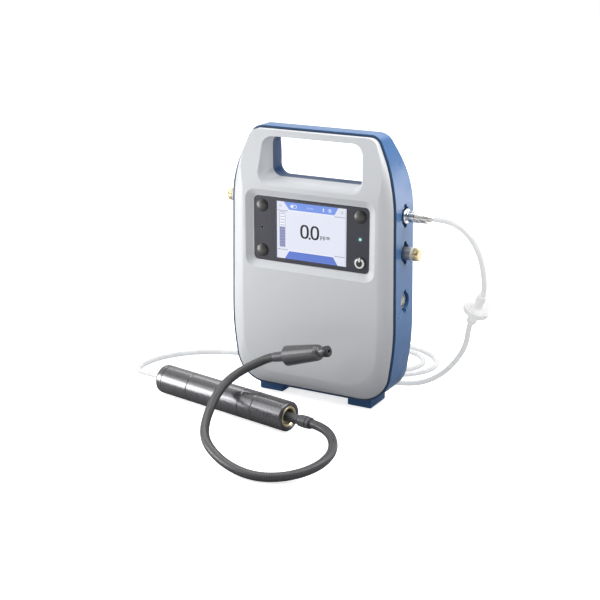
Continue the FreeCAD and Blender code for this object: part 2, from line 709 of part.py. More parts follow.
def main_board_parts():
    """Parts on the main board: a shield can, three chips and two connectors."""
    back = MAIN_BOARD_Y + BOARD_THICKNESS
    shapes = [
        box((-20, back, 140), (16, back + 4, 170)),
        box((26, back, 146), (40, back + 1.6, 160)),
        box((-44, back, 128), (-34, back + 1.6, 138)),
        box((6, back, 112), (18, back + 1.6, 124)),
        box((-30, back, 96), (-6, back + 7, 103)),
        box((30, back, 96), (48, back + 7, 103))]
    return Part.makeCompound(shapes)


def board_spacers():
    """Four pillars between the keypad board and the main board."""
    y_from = KEYPAD_BOARD_Y + BOARD_THICKNESS
    pillars = [rod_y(2.4, x, z, y_from, MAIN_BOARD_Y) for x, z in board_spacer_places()]
    return Part.makeCompound(pillars)


# ---------------------------------------------------------------- battery, pump and sensor

BATTERY_Y = 9.8


def battery_pack():
    """Three round cells side by side in one sleeve."""
    cell_radius = 9.2
    shapes = []
    for index in range(3):
        z = 31.5 + 2 * cell_radius * index
        shapes.append(rod(cell_radius, Vector(-33, BATTERY_Y, z), Vector(33, BATTERY_Y, z)))
        if index:
            low = (-33, BATTERY_Y - cell_radius, z - 2 * cell_radius)
            shapes.append(box(low, (33, BATTERY_Y + cell_radius, z)))
    return fuse_all(shapes)


PUMP_X = 54.0
PUMP_Y = 10.0
PUMP_Z = 62.0


def pump_head():
    """Diaphragm pump head: a block round the crank, with two hose stubs."""
    block = box((PUMP_X - 11, PUMP_Y - 10, PUMP_Z), (PUMP_X + 11, PUMP_Y + 10, PUMP_Z + 20))
    chamber = Part.makeCylinder(7.5, 15, Vector(PUMP_X, PUMP_Y, PUMP_Z + 2))
    bush = Part.makeCylinder(1.5 + RUNNING_GAP, 4, Vector(PUMP_X, PUMP_Y, PUMP_Z - 1))
    stubs = []
    for x in (PUMP_X - 6, PUMP_X + 6):
        stubs.append(Part.makeCylinder(1.5, 6, Vector(x, PUMP_Y, PUMP_Z + 20)))
    return fuse_all([block.cut(chamber).cut(bush)] + stubs)


def pump_motor():
    """Round motor under the pump head, with a hole for its shaft."""
    motor = Part.makeCylinder(9.0, 24, Vector(PUMP_X, PUMP_Y, PUMP_Z - 24))
    return motor.cut(Part.makeCylinder(1.5 + RUNNING_GAP, 21, Vector(PUMP_X, PUMP_Y, PUMP_Z - 20)))


def pump_crank():
    """Motor shaft with the eccentric weight that drives the diaphragm."""
    shaft = Part.makeCylinder(1.5, 32, Vector(PUMP_X, PUMP_Y, PUMP_Z - 19.5))
    weight = Part.makeCylinder(5.0, 6, Vector(PUMP_X + 1.8, PUMP_Y, PUMP_Z + 4))
    return shaft.fuse(weight)


CELL_X = -60.0
CELL_Y = 12.0
CELL_LOW_Z = 74.0
CELL_HIGH_Z = 152.0


def gas_cell():
    """Infrared measuring cell: a tube with a side stub at each end."""
    body = Part.makeCylinder(8, CELL_HIGH_Z - CELL_LOW_Z, Vector(CELL_X, CELL_Y, CELL_LOW_Z))
    stubs = []
    for z in (CELL_LOW_Z + 8, CELL_HIGH_Z - 8):
        stubs.append(Part.makeCylinder(1.5, 14, Vector(CELL_X, CELL_Y, z), Vector(1, 0, 0)))
    bore = Part.makeCylinder(5.5, CELL_HIGH_Z - CELL_LOW_Z, Vector(CELL_X, CELL_Y, CELL_LOW_Z))
    return fuse_all([body] + stubs).cut(bore)


def infrared_source():
    """Lamp that closes the bottom of the cell."""
    disc = Part.makeCylinder(8, 3, Vector(CELL_X, CELL_Y, CELL_LOW_Z - 3))
    lamp = Part.makeCylinder(3, 5, Vector(CELL_X, CELL_Y, CELL_LOW_Z))
    return disc.fuse(lamp)


def infrared_detector():
    """Detector can that closes the top of the cell."""
    disc = Part.makeCylinder(8, 3, Vector(CELL_X, CELL_Y, CELL_HIGH_Z))
    can = Part.makeCylinder(4.2, 4, Vector(CELL_X, CELL_Y, CELL_HIGH_Z - 4))
    return disc.fuse(can)


def inner_hose(points, first, last):
    """One soft hose between two stubs inside the casing."""
    edge = curve_through([Vector(*point) for point in points], first, last).toShape()
    return sweep(2.4, edge).cut(sweep(1.5, edge))


def inner_hoses():
    """Hoses from the inlet to the pump, from the pump to the cell and on to the outlet."""
    up = Vector(0, 0, 1)
    right = Vector(1, 0, 0)
    pump_top = PUMP_Z + 26
    low_stub = CELL_LOW_Z + 8
    high_stub = CELL_HIGH_Z - 8
    inlet = inner_hose(
        [(64, PORT_Y, INLET_Z), (56, 6, 166), (62, 13, 120), (PUMP_X + 6, PUMP_Y, pump_top)],
        right * -1, up * -1)
    cell = inner_hose(
        [(PUMP_X - 6, PUMP_Y, pump_top), (24, 13, 104), (-18, 13, 92), (CELL_X + 14, CELL_Y, low_stub)],
        up, right * -1)
    outlet = inner_hose(
        [(CELL_X + 14, CELL_Y, high_stub), (-36, 12, 160), (-50, 6, 180), (-64, PORT_Y, LEFT_PORT_Z)],
        right, right * -1)
    return Part.makeCompound([inlet, cell, outlet])


# ---------------------------------------------------------------- side ports

def port_x(side):
    """Outward direction of one side of the casing."""
    return Vector(side, 0, 0)


def on_side(profile, z, side):
    """Turned part on a port's axis, from (x, radius) points that count outwards from x = 0."""
    return turned(profile, Vector(0, PORT_Y, z), port_x(side))


def hexagon(across_flats, z, side, x_from, x_to):
    """Hexagonal nut on a port's axis."""
    corner_radius = across_flats / math.sqrt(3)
    points = []
    for index in range(7):
        angle = math.radians(60 * index)
        y = PORT_Y + corner_radius * math.cos(angle)
        points.append(Vector(side * x_from, y, z + corner_radius * math.sin(angle)))
    face = Part.Face(Part.makePolygon(points))
    return face.extrude(Vector(side * (x_to - x_from), 0, 0))


def fitting_profile(x_end, end_radius):
    """Half profile that the bulkhead fittings share: hose stub, lock nut, neck and flange."""
    return [
        (64, HOSE_BORE), (x_end, HOSE_BORE), (x_end, end_radius), (FITTING_BODY_END_X, end_radius),
        (FITTING_BODY_END_X, FITTING_BODY_RADIUS), (POCKET_FLOOR_X + 0.2, FITTING_BODY_RADIUS),
        (POCKET_FLOOR_X + 0.2, 7.2), (POCKET_FLOOR_X, 7.2), (POCKET_FLOOR_X, FITTING_NECK_RADIUS),
        (POCKET_BACK_X, FITTING_NECK_RADIUS), (POCKET_BACK_X, 6.5), (71, 6.5), (71, 2.6), (64, 2.6)]


def gas_port(z, side):
    """Capped steel gas fitting with a threaded stub."""
    body = on_side(fitting_profile(STUB_END_X, STUB_RADIUS), z, side)
    nut = hexagon(13.0, z, side, POCKET_FLOOR_X, POCKET_FLOOR_X + 3)
    nut = nut.cut(rod_x(FITTING_BODY_RADIUS - 0.5, z, side * (POCKET_FLOOR_X - 1), side * SIDE_X))
    return fuse_all([body, nut])


def cap_seal(z, side):
    """Pale sealing ring that travels with the cap."""
    profile = [(FITTING_BODY_END_X + 0.02, STUB_RADIUS + RUNNING_GAP), (CAP_START_X, STUB_RADIUS + RUNNING_GAP),
               (CAP_START_X, CAP_RADIUS), (FITTING_BODY_END_X + 0.02, CAP_RADIUS)]
    return on_side(profile, z, side)


def port_cap(z, side):
    """Brass screw cap with a rounded end and grip grooves."""
    bore = STUB_RADIUS + RUNNING_GAP
    profile = [
        (CAP_START_X + 0.02, bore), (STUB_END_X + 0.4, bore), (STUB_END_X + 0.4, 0), (CAP_END_X, 0),
        (CAP_END_X, CAP_RADIUS - 1.6), (CAP_END_X - 0.5, CAP_RADIUS - 0.5), (CAP_END_X - 1.6, CAP_RADIUS),
        (CAP_START_X + 0.6, CAP_RADIUS), (CAP_START_X + 0.02, CAP_RADIUS - 0.5)]
    cap = on_side(profile, z, side)
    grooves = []
    for index in range(18):
        angle = math.radians(20 * index)
        y = PORT_Y + (CAP_RADIUS + 0.1) * math.cos(angle)
        centre_z = z + (CAP_RADIUS + 0.1) * math.sin(angle)
        start = Vector(side * (CAP_START_X + 1.2), y, centre_z)
        end = Vector(side * (CAP_END_X - 2.0), y, centre_z)
        grooves.append(rod(0.45, start, end))
    return cut_all(cap, grooves)


def inlet_socket():
    """Nickel sample inlet: bulkhead fitting with a bore that takes the plug."""
    profile = [
        (64, HOSE_BORE), (PLUG_START_X - 4, HOSE_BORE), (PLUG_START_X - 4, 3.6), (INLET_RING_END_X, 3.6),
        (INLET_RING_END_X, 6.2), (INLET_RING_END_X - 0.6, 6.8), (POCKET_FLOOR_X + 5.4, 6.8),
        (POCKET_FLOOR_X + 4.8, 5.4), (POCKET_FLOOR_X, 5.4), (POCKET_FLOOR_X, FITTING_NECK_RADIUS),
        (POCKET_BACK_X, FITTING_NECK_RADIUS), (POCKET_BACK_X, 6.5), (71, 6.5), (71, 2.6), (64, 2.6)]
    socket = on_side(profile, INLET_Z, 1)
    nut = hexagon(13.0, INLET_Z, 1, POCKET_FLOOR_X, POCKET_FLOOR_X + 2.8)
    nut = nut.cut(rod_x(5.0, INLET_Z, POCKET_FLOOR_X - 1, SIDE_X))
    return fuse_all([socket, nut])


def plug_body():
    """Plug in the inlet: spigot, shoulder, shaft for the collar and hose barb."""
    profile = [
        (PLUG_START_X - 3.5, HOSE_BORE - 0.6), (BARB_END_X, HOSE_BORE - 0.6), (BARB_END_X, 1.5)]
    for index in range(3):
        x = BARB_END_X - 1.5 - 2.6 * index
        profile += [(x, BARB_RADIUS), (x, 1.6)]
    profile += [
        (BARB_START_X, 1.6), (BARB_START_X, 2.2), (COLLAR_END_X + 3.4, PLUG_SHAFT_RADIUS),
        (PLUG_SHOULDER_X, PLUG_SHAFT_RADIUS), (PLUG_SHOULDER_X, 4.8), (PLUG_SHOULDER_X - 0.8, 5.2),
        (INLET_RING_END_X + 2.0, 5.2), (INLET_RING_END_X + 1.2, 4.4), (INLET_RING_END_X + 0.2, 4.4),
        (INLET_RING_END_X + 0.2, 3.58),
        (PLUG_START_X - 3.5, 3.58)]
    return on_side(profile, INLET_Z, 1)


def plug_collar():
    """Gripped sleeve that is pulled back along the plug to release it."""
    bore = PLUG_SHAFT_RADIUS + RUNNING_GAP
    middle = (PLUG_SHOULDER_X + COLLAR_END_X) / 2
    start = PLUG_SHOULDER_X + 0.05
    profile = [
        (start, bore), (COLLAR_END_X, bore), (COLLAR_END_X, COLLAR_RADIUS - 0.8),
        (COLLAR_END_X - 0.8, COLLAR_RADIUS - 0.1), (middle + 1.2, COLLAR_RADIUS - 0.1),
        (middle + 0.7, COLLAR_RADIUS - 0.8), (middle - 0.3, COLLAR_RADIUS - 0.8),
        (middle - 0.8, COLLAR_RADIUS), (start + 0.6, COLLAR_RADIUS), (start, COLLAR_RADIUS - 0.6)]
    collar = on_side(profile, INLET_Z, 1)
    grooves = []
    for index in range(20):
        angle = math.radians(18 * index)
        y = PORT_Y + (COLLAR_RADIUS + 0.15) * math.cos(angle)
        z = INLET_Z + (COLLAR_RADIUS + 0.15) * math.sin(angle)
        grooves.append(rod(0.4, Vector(start + 1, y, z), Vector(middle - 1.4, y, z)))
    return cut_all(collar, grooves)


def power_socket():
    """Metal shell of the charging socket, open to the side, with a narrower seat for its insulator."""
    profile = [
        (64, 0), (66, 0), (66, SOCKET_SEAT_RADIUS), (SOCKET_INSERT_X, SOCKET_SEAT_RADIUS),
        (SOCKET_INSERT_X, SOCKET_BORE_RADIUS), (SOCKET_MOUTH_X, SOCKET_BORE_RADIUS),
        (SOCKET_MOUTH_X, SOCKET_OUTER_RADIUS - 0.5), (SOCKET_MOUTH_X - 0.5, SOCKET_OUTER_RADIUS),
        (64, SOCKET_OUTER_RADIUS)]
    return on_side(profile, SOCKET_Z, 1)


def socket_insert():
    """Pale insulator in the charging socket, with a key slot and contact holes."""
    insert = rod_x(SOCKET_SEAT_RADIUS, SOCKET_Z, 66, SOCKET_INSERT_X)
    cuts = [box((SOCKET_INSERT_X - 3, PORT_Y - 1.2, SOCKET_Z + 2.4), (SOCKET_INSERT_X + 1, PORT_Y + 1.2, SOCKET_Z + 7))]
    for start in contact_places():
        cuts.append(rod(0.8, start, start + Vector(9, 0, 0)))
    return cut_all(insert, cuts)


def contact_places():
    """Back ends of the four socket contacts."""
    places = []
    for index in range(4):
        angle = math.radians(45 + 90 * index)
        y = PORT_Y + 2.5 * math.cos(angle)
        places.append(Vector(70, y, SOCKET_Z + 2.5 * math.sin(angle)))
    return places


def socket_contacts():
    """Four contact pins, sunk below the insulator's face."""
    pins = [rod(0.8, start, start + Vector(5.8, 0, 0)) for start in contact_places()]
    return Part.makeCompound(pins)


# ---------------------------------------------------------------- hose and filter

def filter_axis():
    """Direction of the filter, from its upper end to its lower end."""
    return (FILTER_BOTTOM - FILTER_TOP).normalize()


def hose(points, first, last):
    """Clear hose along a smooth curve."""
    edge = curve_through(points, first, last).toShape()
    return sweep(HOSE_RADIUS, edge).cut(sweep(HOSE_BORE, edge))


def sample_hose_upper():
    """Hose from the inlet plug, in an arch, down to the filter; it is wider over the barb."""
    start = Vector(BARB_START_X + 1.5, PORT_Y, INLET_Z)
    points = [
        start, Vector(122, 2, 181), Vector(132.9, 3.8, 176.6), Vector(148.2, 7.3, 157.7),
        Vector(153.5, 12.4, 131.4), FILTER_TOP + filter_axis() * 0.5]
    widened = rod_x(BARB_RADIUS + RUNNING_GAP, INLET_Z, BARB_START_X, BARB_END_X + 0.3)
    return hose(points, Vector(1, 0, 0), filter_axis()).cut(widened)


def sample_hose_lower():
    """Hose from the filter to the floor, round a two-turn coil and on to the wand."""
    lying = HOSE_RADIUS + 0.2
    points = [
        FILTER_BOTTOM - filter_axis() * 0.5, Vector(130.5, 36.2, 64.2), Vector(114.9, 50.6, 37.5),
        Vector(95.6, 57.6, 17.4), Vector(76, 58.5, 6.5), Vector(54, 57.5, lying + 0.2),
        Vector(25, 54.5, lying), Vector(-10, 57, lying), Vector(-50, 75, lying),
        Vector(-69, 113, lying), Vector(-46, 150, lying), Vector(0, 163, lying),
        Vector(43, 152, lying), Vector(67, 116, lying), Vector(52, 84, lying), Vector(5, 71, lying),
        Vector(-38, 81, lying), Vector(-54, 112, lying), Vector(-34, 140, lying),
        Vector(4, 149, lying), Vector(40, 140, lying), Vector(53, 114, lying),
        Vector(40, 91, lying), Vector(8, 83.5, lying + 0.7), Vector(-24, 79, 8.2),
        Vector(-50, 72, 8.6), Vector(-78, 67, 4.8), Vector(-104, 64, lying + 0.1),
        Vector(-135, 57, lying), Vector(-170, 35, lying), Vector(-188, 5, lying),
        Vector(-189, -19, 3.3), Vector(-179, -39, 6.2), Vector(-163, -52.5, 10.6), wand_point(-8)]
    return hose(points, filter_axis(), wand_axis())


def filter_half(start, axis):
    """Half of the disc filter: disc with a raised rim, cone and hose collar."""
    middle = (FILTER_TOP - FILTER_BOTTOM).Length / 2
    seat = HOSE_RADIUS
    profile = [
        (0, seat), (8, seat), (8, 1.0), (middle - 1.2, 1.0), (middle - 1.2, FILTER_DISC_RADIUS - 2),
        (middle, FILTER_DISC_RADIUS - 2), (middle, FILTER_DISC_RADIUS), (middle - FILTER_RIM, FILTER_DISC_RADIUS),
        (middle - FILTER_RIM, FILTER_DISC_RADIUS - 1.2), (middle - FILTER_RIM - 0.6, FILTER_DISC_RADIUS - 1.8),
        (middle - FILTER_RIM - 1.4, 5.2), (middle - FILTER_RIM - 2.4, 4.0), (7, 3.7), (6, 4.6), (1.2, 4.6), (0, 4.2)]
    return turned(profile, start, axis)


def filter_inlet_half():
    """Lower half of the filter, where the sampled gas comes in."""
    return filter_half(FILTER_BOTTOM, filter_axis() * -1)


def filter_outlet_half():
    """Upper half of the filter."""
    return filter_half(FILTER_TOP, filter_axis())


def filter_membrane():
    """Filter disc that is held between the two halves."""
    middle = (FILTER_TOP + FILTER_BOTTOM) * 0.5
    axis = filter_axis()
    return rod(FILTER_DISC_RADIUS - 2, middle - axis * 1.2, middle + axis * 1.2)


# ---------------------------------------------------------------- wand

def wand_axis():
    """Direction of the wand, from its far end to its nose."""
    angle = math.radians(WAND_YAW)
    return Vector(math.cos(angle), math.sin(angle), 0)


def wand_point(along):
    """Point on the wand's axis."""
    return WAND_FAR_END + wand_axis() * along


def on_wand(profile):
    """Turned part on the wand's axis, from (along, radius) points."""
    return turned(profile, WAND_FAR_END, wand_axis())


def wand_end_cap():
    """Rounded cap on the wand's far end, with the barb for the sample hose."""
    end = WAND_SEAMS[0] - SLEEVE_GAP
    profile = [(-8, 0.9), (0, 0.9), (0, 6), (4, 6), (4, CORE_RADIUS), (end, CORE_RADIUS), (end, WAND_RADIUS)]
    roll = 2.6
    for index in range(7):
        angle = math.radians(15 * index)
        profile.append((roll - roll * math.sin(angle), WAND_RADIUS - roll + roll * math.cos(angle)))
    profile += [(0, 4.6), (-3, 4.2), (-8, 2.9)]
    return on_wand(profile)


def wand_sleeve(index):
    """Outer sleeve between two seams, with broken edges."""
    start = WAND_SEAMS[index]
    end = WAND_SEAMS[index + 1] - SLEEVE_GAP
    edge = 0.35
    profile = [
        (start, CORE_RADIUS), (end, CORE_RADIUS), (end, WAND_RADIUS - edge), (end - edge, WAND_RADIUS),
        (start + edge, WAND_RADIUS), (start, WAND_RADIUS - edge)]
    return on_wand(profile)


def wand_nose_sleeve():
    """Front sleeve, whose face rolls inwards round the brass ring."""
    start = WAND_SEAMS[3]
    profile = [(start, CORE_RADIUS), (146, CORE_RADIUS), (146, NOSE_RING_RADIUS), (WAND_LENGTH - 0.8, NOSE_RING_RADIUS)]
    profile.append((WAND_LENGTH, NOSE_RING_RADIUS + 0.9))
    roll = 1.8
    for index in range(7):
        angle = math.radians(15 * index)
        along = WAND_LENGTH - roll + roll * math.cos(angle)
        profile.append((along, WAND_RADIUS - roll + roll * math.sin(angle)))
    profile += [(start + 0.35, WAND_RADIUS), (start, WAND_RADIUS - 0.35)]
    return on_wand(profile)


def wand_core():
    """Inner tube that carries the sleeves and leads the gas through the wand."""
    profile = [(4, 2.5), (146, 2.5), (146, CORE_RADIUS), (4, CORE_RADIUS)]
    hollow = [(12, 4.5), (138, 4.5), (138, CORE_RADIUS - 1.8), (12, CORE_RADIUS - 1.8)]
    return on_wand(profile).cut(on_wand(hollow))


def wand_nose_ring():
    """Brass ring in the wand's nose."""
    profile = [
        (146, NOSE_RING_BORE), (WAND_LENGTH - 1.2, NOSE_RING_BORE), (WAND_LENGTH - 0.2, NOSE_RING_BORE + 0.9),
        (WAND_LENGTH - 0.2, NOSE_RING_RADIUS - 0.4), (WAND_LENGTH - 0.8, NOSE_RING_RADIUS), (146, NOSE_RING_RADIUS)]
    return on_wand(profile)


def wand_cable_boot():
    """Stepped boot that holds the gooseneck in the wand's nose."""
    profile = [
        (146, 1.6), (BOOT_END + 4, 1.6), (BOOT_END + 4, 4.9), (BOOT_END + 3, 5.2), (BOOT_END + 0.6, 5.2),
        (BOOT_END, 4.9), (BOOT_END - 0.2, 5.5), (BOOT_END - 8, 5.2), (BOOT_END - 9.5, 4.2), (147.5, 4.2),
        (147.5, NOSE_RING_BORE), (146, NOSE_RING_BORE)]
    return on_wand(profile)


# ---------------------------------------------------------------- gooseneck and probe

def head_axis():
    """Direction in which the probe head points."""
    return Vector(HEAD_AXIS).normalize()


def neck_curve():
    """Centre line of the gooseneck."""
    last = HEAD_START - head_axis() * PROBE_SLEEVE_LENGTH
    points = [wand_point(NECK_END)] + NECK_PATH + [last]
    return curve_through(points, wand_axis(), head_axis())


def neck_joint(number):
    """Place of one flexing point, as a point and a direction along the gooseneck."""
    curve = neck_curve()
    point = NECK_PATH[NECK_JOINTS[number]]
    return point, curve.tangent(curve.parameter(point))[0]


def knuckle(number, grow):
    """Round knuckle of one flexing point, across the gooseneck."""
    point = NECK_PATH[NECK_JOINTS[number]]
    reach = Vector(NECK_HINGES[number]).normalize() * (KNUCKLE_HALF_LENGTH + grow)
    return rod(KNUCKLE_RADIUS + grow, point - reach, point + reach)


def neck_part(number):
    """One length of gooseneck, with a cup where it starts and a knuckle where it ends."""
    curve = neck_curve()
    last = len(NECK_JOINTS)
    start = curve.FirstParameter
    end = curve.LastParameter
    if number > 0:
        start = curve.parameter(NECK_PATH[NECK_JOINTS[number - 1]])
    if number < last:
        end = curve.parameter(NECK_PATH[NECK_JOINTS[number]])
    bar = sweep(NECK_RADIUS, curve.toShape(start, end))
    if number < last:
        point, direction = neck_joint(number)
        stop = point - direction * NECK_GAP
        beyond = rod(NECK_RADIUS + 3, stop, point + direction * 6)
        core = rod(NECK_CORE, stop - direction * 0.5, point)
        bar = fuse_all([bar.cut(beyond), core, knuckle(number, 0)])
    if number > 0:
        bar = bar.cut(knuckle(number - 1, RUNNING_GAP))
    return bar.cut(neck_bore())


def neck_bore():
    """Gas passage through the whole gooseneck."""
    return sweep(NECK_BORE, neck_curve().toShape())


def probe_sleeve():
    """Smooth sleeve between the gooseneck and the probe head."""
    length = PROBE_SLEEVE_LENGTH
    profile = [
        (-length, NECK_BORE), (4, NECK_BORE), (4, 5.5), (0, 5.5), (0, PROBE_SLEEVE_RADIUS + 0.2),
        (1 - length, PROBE_SLEEVE_RADIUS - 0.2), (-length, PROBE_SLEEVE_RADIUS - 0.8)]
    return turned(profile, HEAD_START, head_axis())


def probe_head():
    """Tapered probe head, hollow, with a stepped nose."""
    profile = [
        (0, 5.5), (4, 5.5), (4, 6.2), (HEAD_TAPER_LENGTH - 3, 5.4), (HEAD_TAPER_LENGTH, NECK_BORE),
        (NOSE_END, NECK_BORE), (NOSE_END, NOSE_RADIUS), (HEAD_SHOULDER + 0.4, NOSE_RADIUS),
        (HEAD_SHOULDER, NOSE_RADIUS + 0.5), (HEAD_SHOULDER, 5.9), (HEAD_SHOULDER - 0.8, 6.7),
        (HEAD_TAPER_LENGTH, HEAD_FRONT_RADIUS), (0.7, HEAD_REAR_RADIUS), (0, HEAD_REAR_RADIUS - 0.6)]
    return turned(profile, HEAD_START, head_axis())


def probe_tip():
    """Soft ring with the sampling hole, on the end of the nose."""
    profile = [
        (NOSE_END, TIP_HOLE_RADIUS), (TIP_END - 0.4, TIP_HOLE_RADIUS), (TIP_END, TIP_HOLE_RADIUS + 0.5),
        (TIP_END, 3.6), (TIP_END - 0.4, 4.5), (TIP_END - 1.4, 5.0), (NOSE_END + 0.6, 5.0), (NOSE_END, 4.5)]
    return turned(profile, HEAD_START, head_axis())


# ---------------------------------------------------------------- output

def parts():
    """Every sub-part by its node name."""
    named = {
        "rear_shell": rear_shell(), "front_shell": front_shell(), "shell_gasket": shell_gasket(),
        "shell_screws": shell_screws(), "battery_door": battery_door(), "door_screws": door_screws(),
        "display_bezel": display_bezel(), "display_window": display_window(),
        "display_module": display_module(), "keypad_board": keypad_board(),
        "keypad_switches": keypad_switches(), "status_light": status_light(), "buzzer": buzzer(),
        "main_board": main_board(), "main_board_parts": main_board_parts(),
        "board_spacers": board_spacers(), "battery_pack": battery_pack(), "pump_head": pump_head(),
        "pump_motor": pump_motor(), "pump_crank": pump_crank(), "gas_cell": gas_cell(),
        "infrared_source": infrared_source(), "infrared_detector": infrared_detector(),
        "inner_hoses": inner_hoses(), "inlet_socket": inlet_socket(), "plug_body": plug_body(),
        "plug_collar": plug_collar(), "right_gas_port": gas_port(RIGHT_PORT_Z, 1),
        "right_cap_seal": cap_seal(RIGHT_PORT_Z, 1), "right_port_cap": port_cap(RIGHT_PORT_Z, 1),
        "left_gas_port": gas_port(LEFT_PORT_Z, -1), "left_cap_seal": cap_seal(LEFT_PORT_Z, -1),
        "left_port_cap": port_cap(LEFT_PORT_Z, -1), "power_socket": power_socket(),
        "socket_insert": socket_insert(), "socket_contacts": socket_contacts(),
        "sample_hose_upper": sample_hose_upper(), "sample_hose_lower": sample_hose_lower(),
        "filter_inlet_half": filter_inlet_half(), "filter_outlet_half": filter_outlet_half(),
        "filter_membrane": filter_membrane(), "wand_end_cap": wand_end_cap(),
        "wand_rear_sleeve": wand_sleeve(0), "wand_middle_sleeve": wand_sleeve(1),
        "wand_front_sleeve": wand_sleeve(2), "wand_nose_sleeve": wand_nose_sleeve(),
        "wand_core": wand_core(), "wand_nose_ring": wand_nose_ring(),
        "wand_cable_boot": wand_cable_boot(), "probe_sleeve": probe_sleeve(),
        "probe_head": probe_head(), "probe_tip": probe_tip()}
    button_names = ["button_upper_left", "button_lower_left", "button_upper_right", "power_button"]
    for index, name in enumerate(button_names):
        named[name] = button(index)
    neck_names = ["gooseneck_base", "gooseneck_rise", "gooseneck_arch", "gooseneck_end"]
    for number, name in enumerate(neck_names):
        named[name] = neck_part(number)
    return named


def write_parts():
    """Writes one STEP file for each sub-part, in the frame of the whole set."""
    os.makedirs("parts", exist_ok=True)
    for name, shape in parts().items():
        placed = shape.translated(SET_MIDDLE * -1)
        placed.exportStep(os.path.join("parts", name + ".step"))


write_parts()
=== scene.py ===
"""Looks of the portable gas detector.

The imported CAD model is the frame. This script paints every CAD node with a procedural material,
adds the display's picture, the power mark, the ribbed gooseneck and other fine pieces, and sets
up a pale studio with a camera. Lengths are metres in the CAD's own frame.
"""

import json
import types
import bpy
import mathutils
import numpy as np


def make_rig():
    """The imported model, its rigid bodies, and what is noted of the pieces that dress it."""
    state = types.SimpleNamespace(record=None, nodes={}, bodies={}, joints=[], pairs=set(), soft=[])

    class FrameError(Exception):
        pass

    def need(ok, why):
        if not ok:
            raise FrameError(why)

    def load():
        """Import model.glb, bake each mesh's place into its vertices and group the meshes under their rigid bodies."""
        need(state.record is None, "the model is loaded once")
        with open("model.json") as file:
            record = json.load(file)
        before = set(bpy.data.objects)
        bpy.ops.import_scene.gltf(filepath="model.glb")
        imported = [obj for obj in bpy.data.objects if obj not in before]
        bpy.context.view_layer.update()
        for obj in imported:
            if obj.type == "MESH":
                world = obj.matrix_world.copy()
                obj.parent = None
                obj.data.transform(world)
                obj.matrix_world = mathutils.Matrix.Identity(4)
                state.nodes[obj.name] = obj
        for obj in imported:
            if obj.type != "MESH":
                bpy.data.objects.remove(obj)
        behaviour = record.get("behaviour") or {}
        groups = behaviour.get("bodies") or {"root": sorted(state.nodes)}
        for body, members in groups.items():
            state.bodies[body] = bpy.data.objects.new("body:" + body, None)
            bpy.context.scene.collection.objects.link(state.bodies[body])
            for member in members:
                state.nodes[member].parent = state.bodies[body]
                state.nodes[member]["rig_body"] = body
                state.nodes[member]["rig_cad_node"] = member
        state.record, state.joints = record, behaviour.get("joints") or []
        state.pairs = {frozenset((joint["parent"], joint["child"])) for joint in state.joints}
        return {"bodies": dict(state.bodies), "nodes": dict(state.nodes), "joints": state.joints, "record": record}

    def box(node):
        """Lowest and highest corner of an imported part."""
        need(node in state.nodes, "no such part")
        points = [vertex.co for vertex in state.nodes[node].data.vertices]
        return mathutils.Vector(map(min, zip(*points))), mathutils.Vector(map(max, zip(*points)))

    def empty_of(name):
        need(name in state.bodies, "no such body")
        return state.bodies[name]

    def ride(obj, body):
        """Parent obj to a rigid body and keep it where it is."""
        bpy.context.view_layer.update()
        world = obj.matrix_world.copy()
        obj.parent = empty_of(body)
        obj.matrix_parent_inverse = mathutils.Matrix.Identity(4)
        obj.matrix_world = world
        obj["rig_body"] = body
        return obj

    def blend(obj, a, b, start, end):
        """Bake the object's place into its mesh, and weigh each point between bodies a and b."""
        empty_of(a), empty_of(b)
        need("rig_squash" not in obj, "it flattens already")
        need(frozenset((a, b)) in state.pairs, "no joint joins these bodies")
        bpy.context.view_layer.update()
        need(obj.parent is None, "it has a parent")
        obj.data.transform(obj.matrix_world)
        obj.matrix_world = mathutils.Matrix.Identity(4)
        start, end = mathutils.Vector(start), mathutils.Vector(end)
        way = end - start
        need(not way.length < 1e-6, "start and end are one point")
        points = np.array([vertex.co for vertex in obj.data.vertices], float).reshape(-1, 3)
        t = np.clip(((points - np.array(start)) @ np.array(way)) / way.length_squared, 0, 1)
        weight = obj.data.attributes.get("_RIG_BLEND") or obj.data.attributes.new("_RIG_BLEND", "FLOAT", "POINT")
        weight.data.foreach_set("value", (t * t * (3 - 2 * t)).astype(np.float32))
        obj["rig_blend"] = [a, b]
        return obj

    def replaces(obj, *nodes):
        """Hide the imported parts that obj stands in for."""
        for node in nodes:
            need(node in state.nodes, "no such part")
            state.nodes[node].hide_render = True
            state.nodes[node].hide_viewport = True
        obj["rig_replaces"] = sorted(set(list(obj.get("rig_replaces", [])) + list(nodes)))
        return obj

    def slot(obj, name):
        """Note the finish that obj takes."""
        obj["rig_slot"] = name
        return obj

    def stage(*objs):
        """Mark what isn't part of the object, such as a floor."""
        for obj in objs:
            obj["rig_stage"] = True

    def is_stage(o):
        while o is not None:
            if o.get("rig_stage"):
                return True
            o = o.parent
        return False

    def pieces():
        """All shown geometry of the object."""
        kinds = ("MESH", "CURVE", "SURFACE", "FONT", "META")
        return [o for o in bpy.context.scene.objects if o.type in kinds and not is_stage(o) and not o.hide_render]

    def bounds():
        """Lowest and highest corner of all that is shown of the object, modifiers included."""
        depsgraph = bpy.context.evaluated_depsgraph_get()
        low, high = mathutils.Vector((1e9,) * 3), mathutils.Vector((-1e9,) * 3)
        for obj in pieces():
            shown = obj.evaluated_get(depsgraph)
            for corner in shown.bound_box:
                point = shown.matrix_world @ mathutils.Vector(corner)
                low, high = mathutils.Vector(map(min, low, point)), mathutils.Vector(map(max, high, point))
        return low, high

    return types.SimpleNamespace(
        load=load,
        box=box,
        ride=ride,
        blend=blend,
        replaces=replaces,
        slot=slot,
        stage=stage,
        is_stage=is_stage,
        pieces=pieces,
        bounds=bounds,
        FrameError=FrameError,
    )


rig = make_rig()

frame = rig.load()

import json
import math

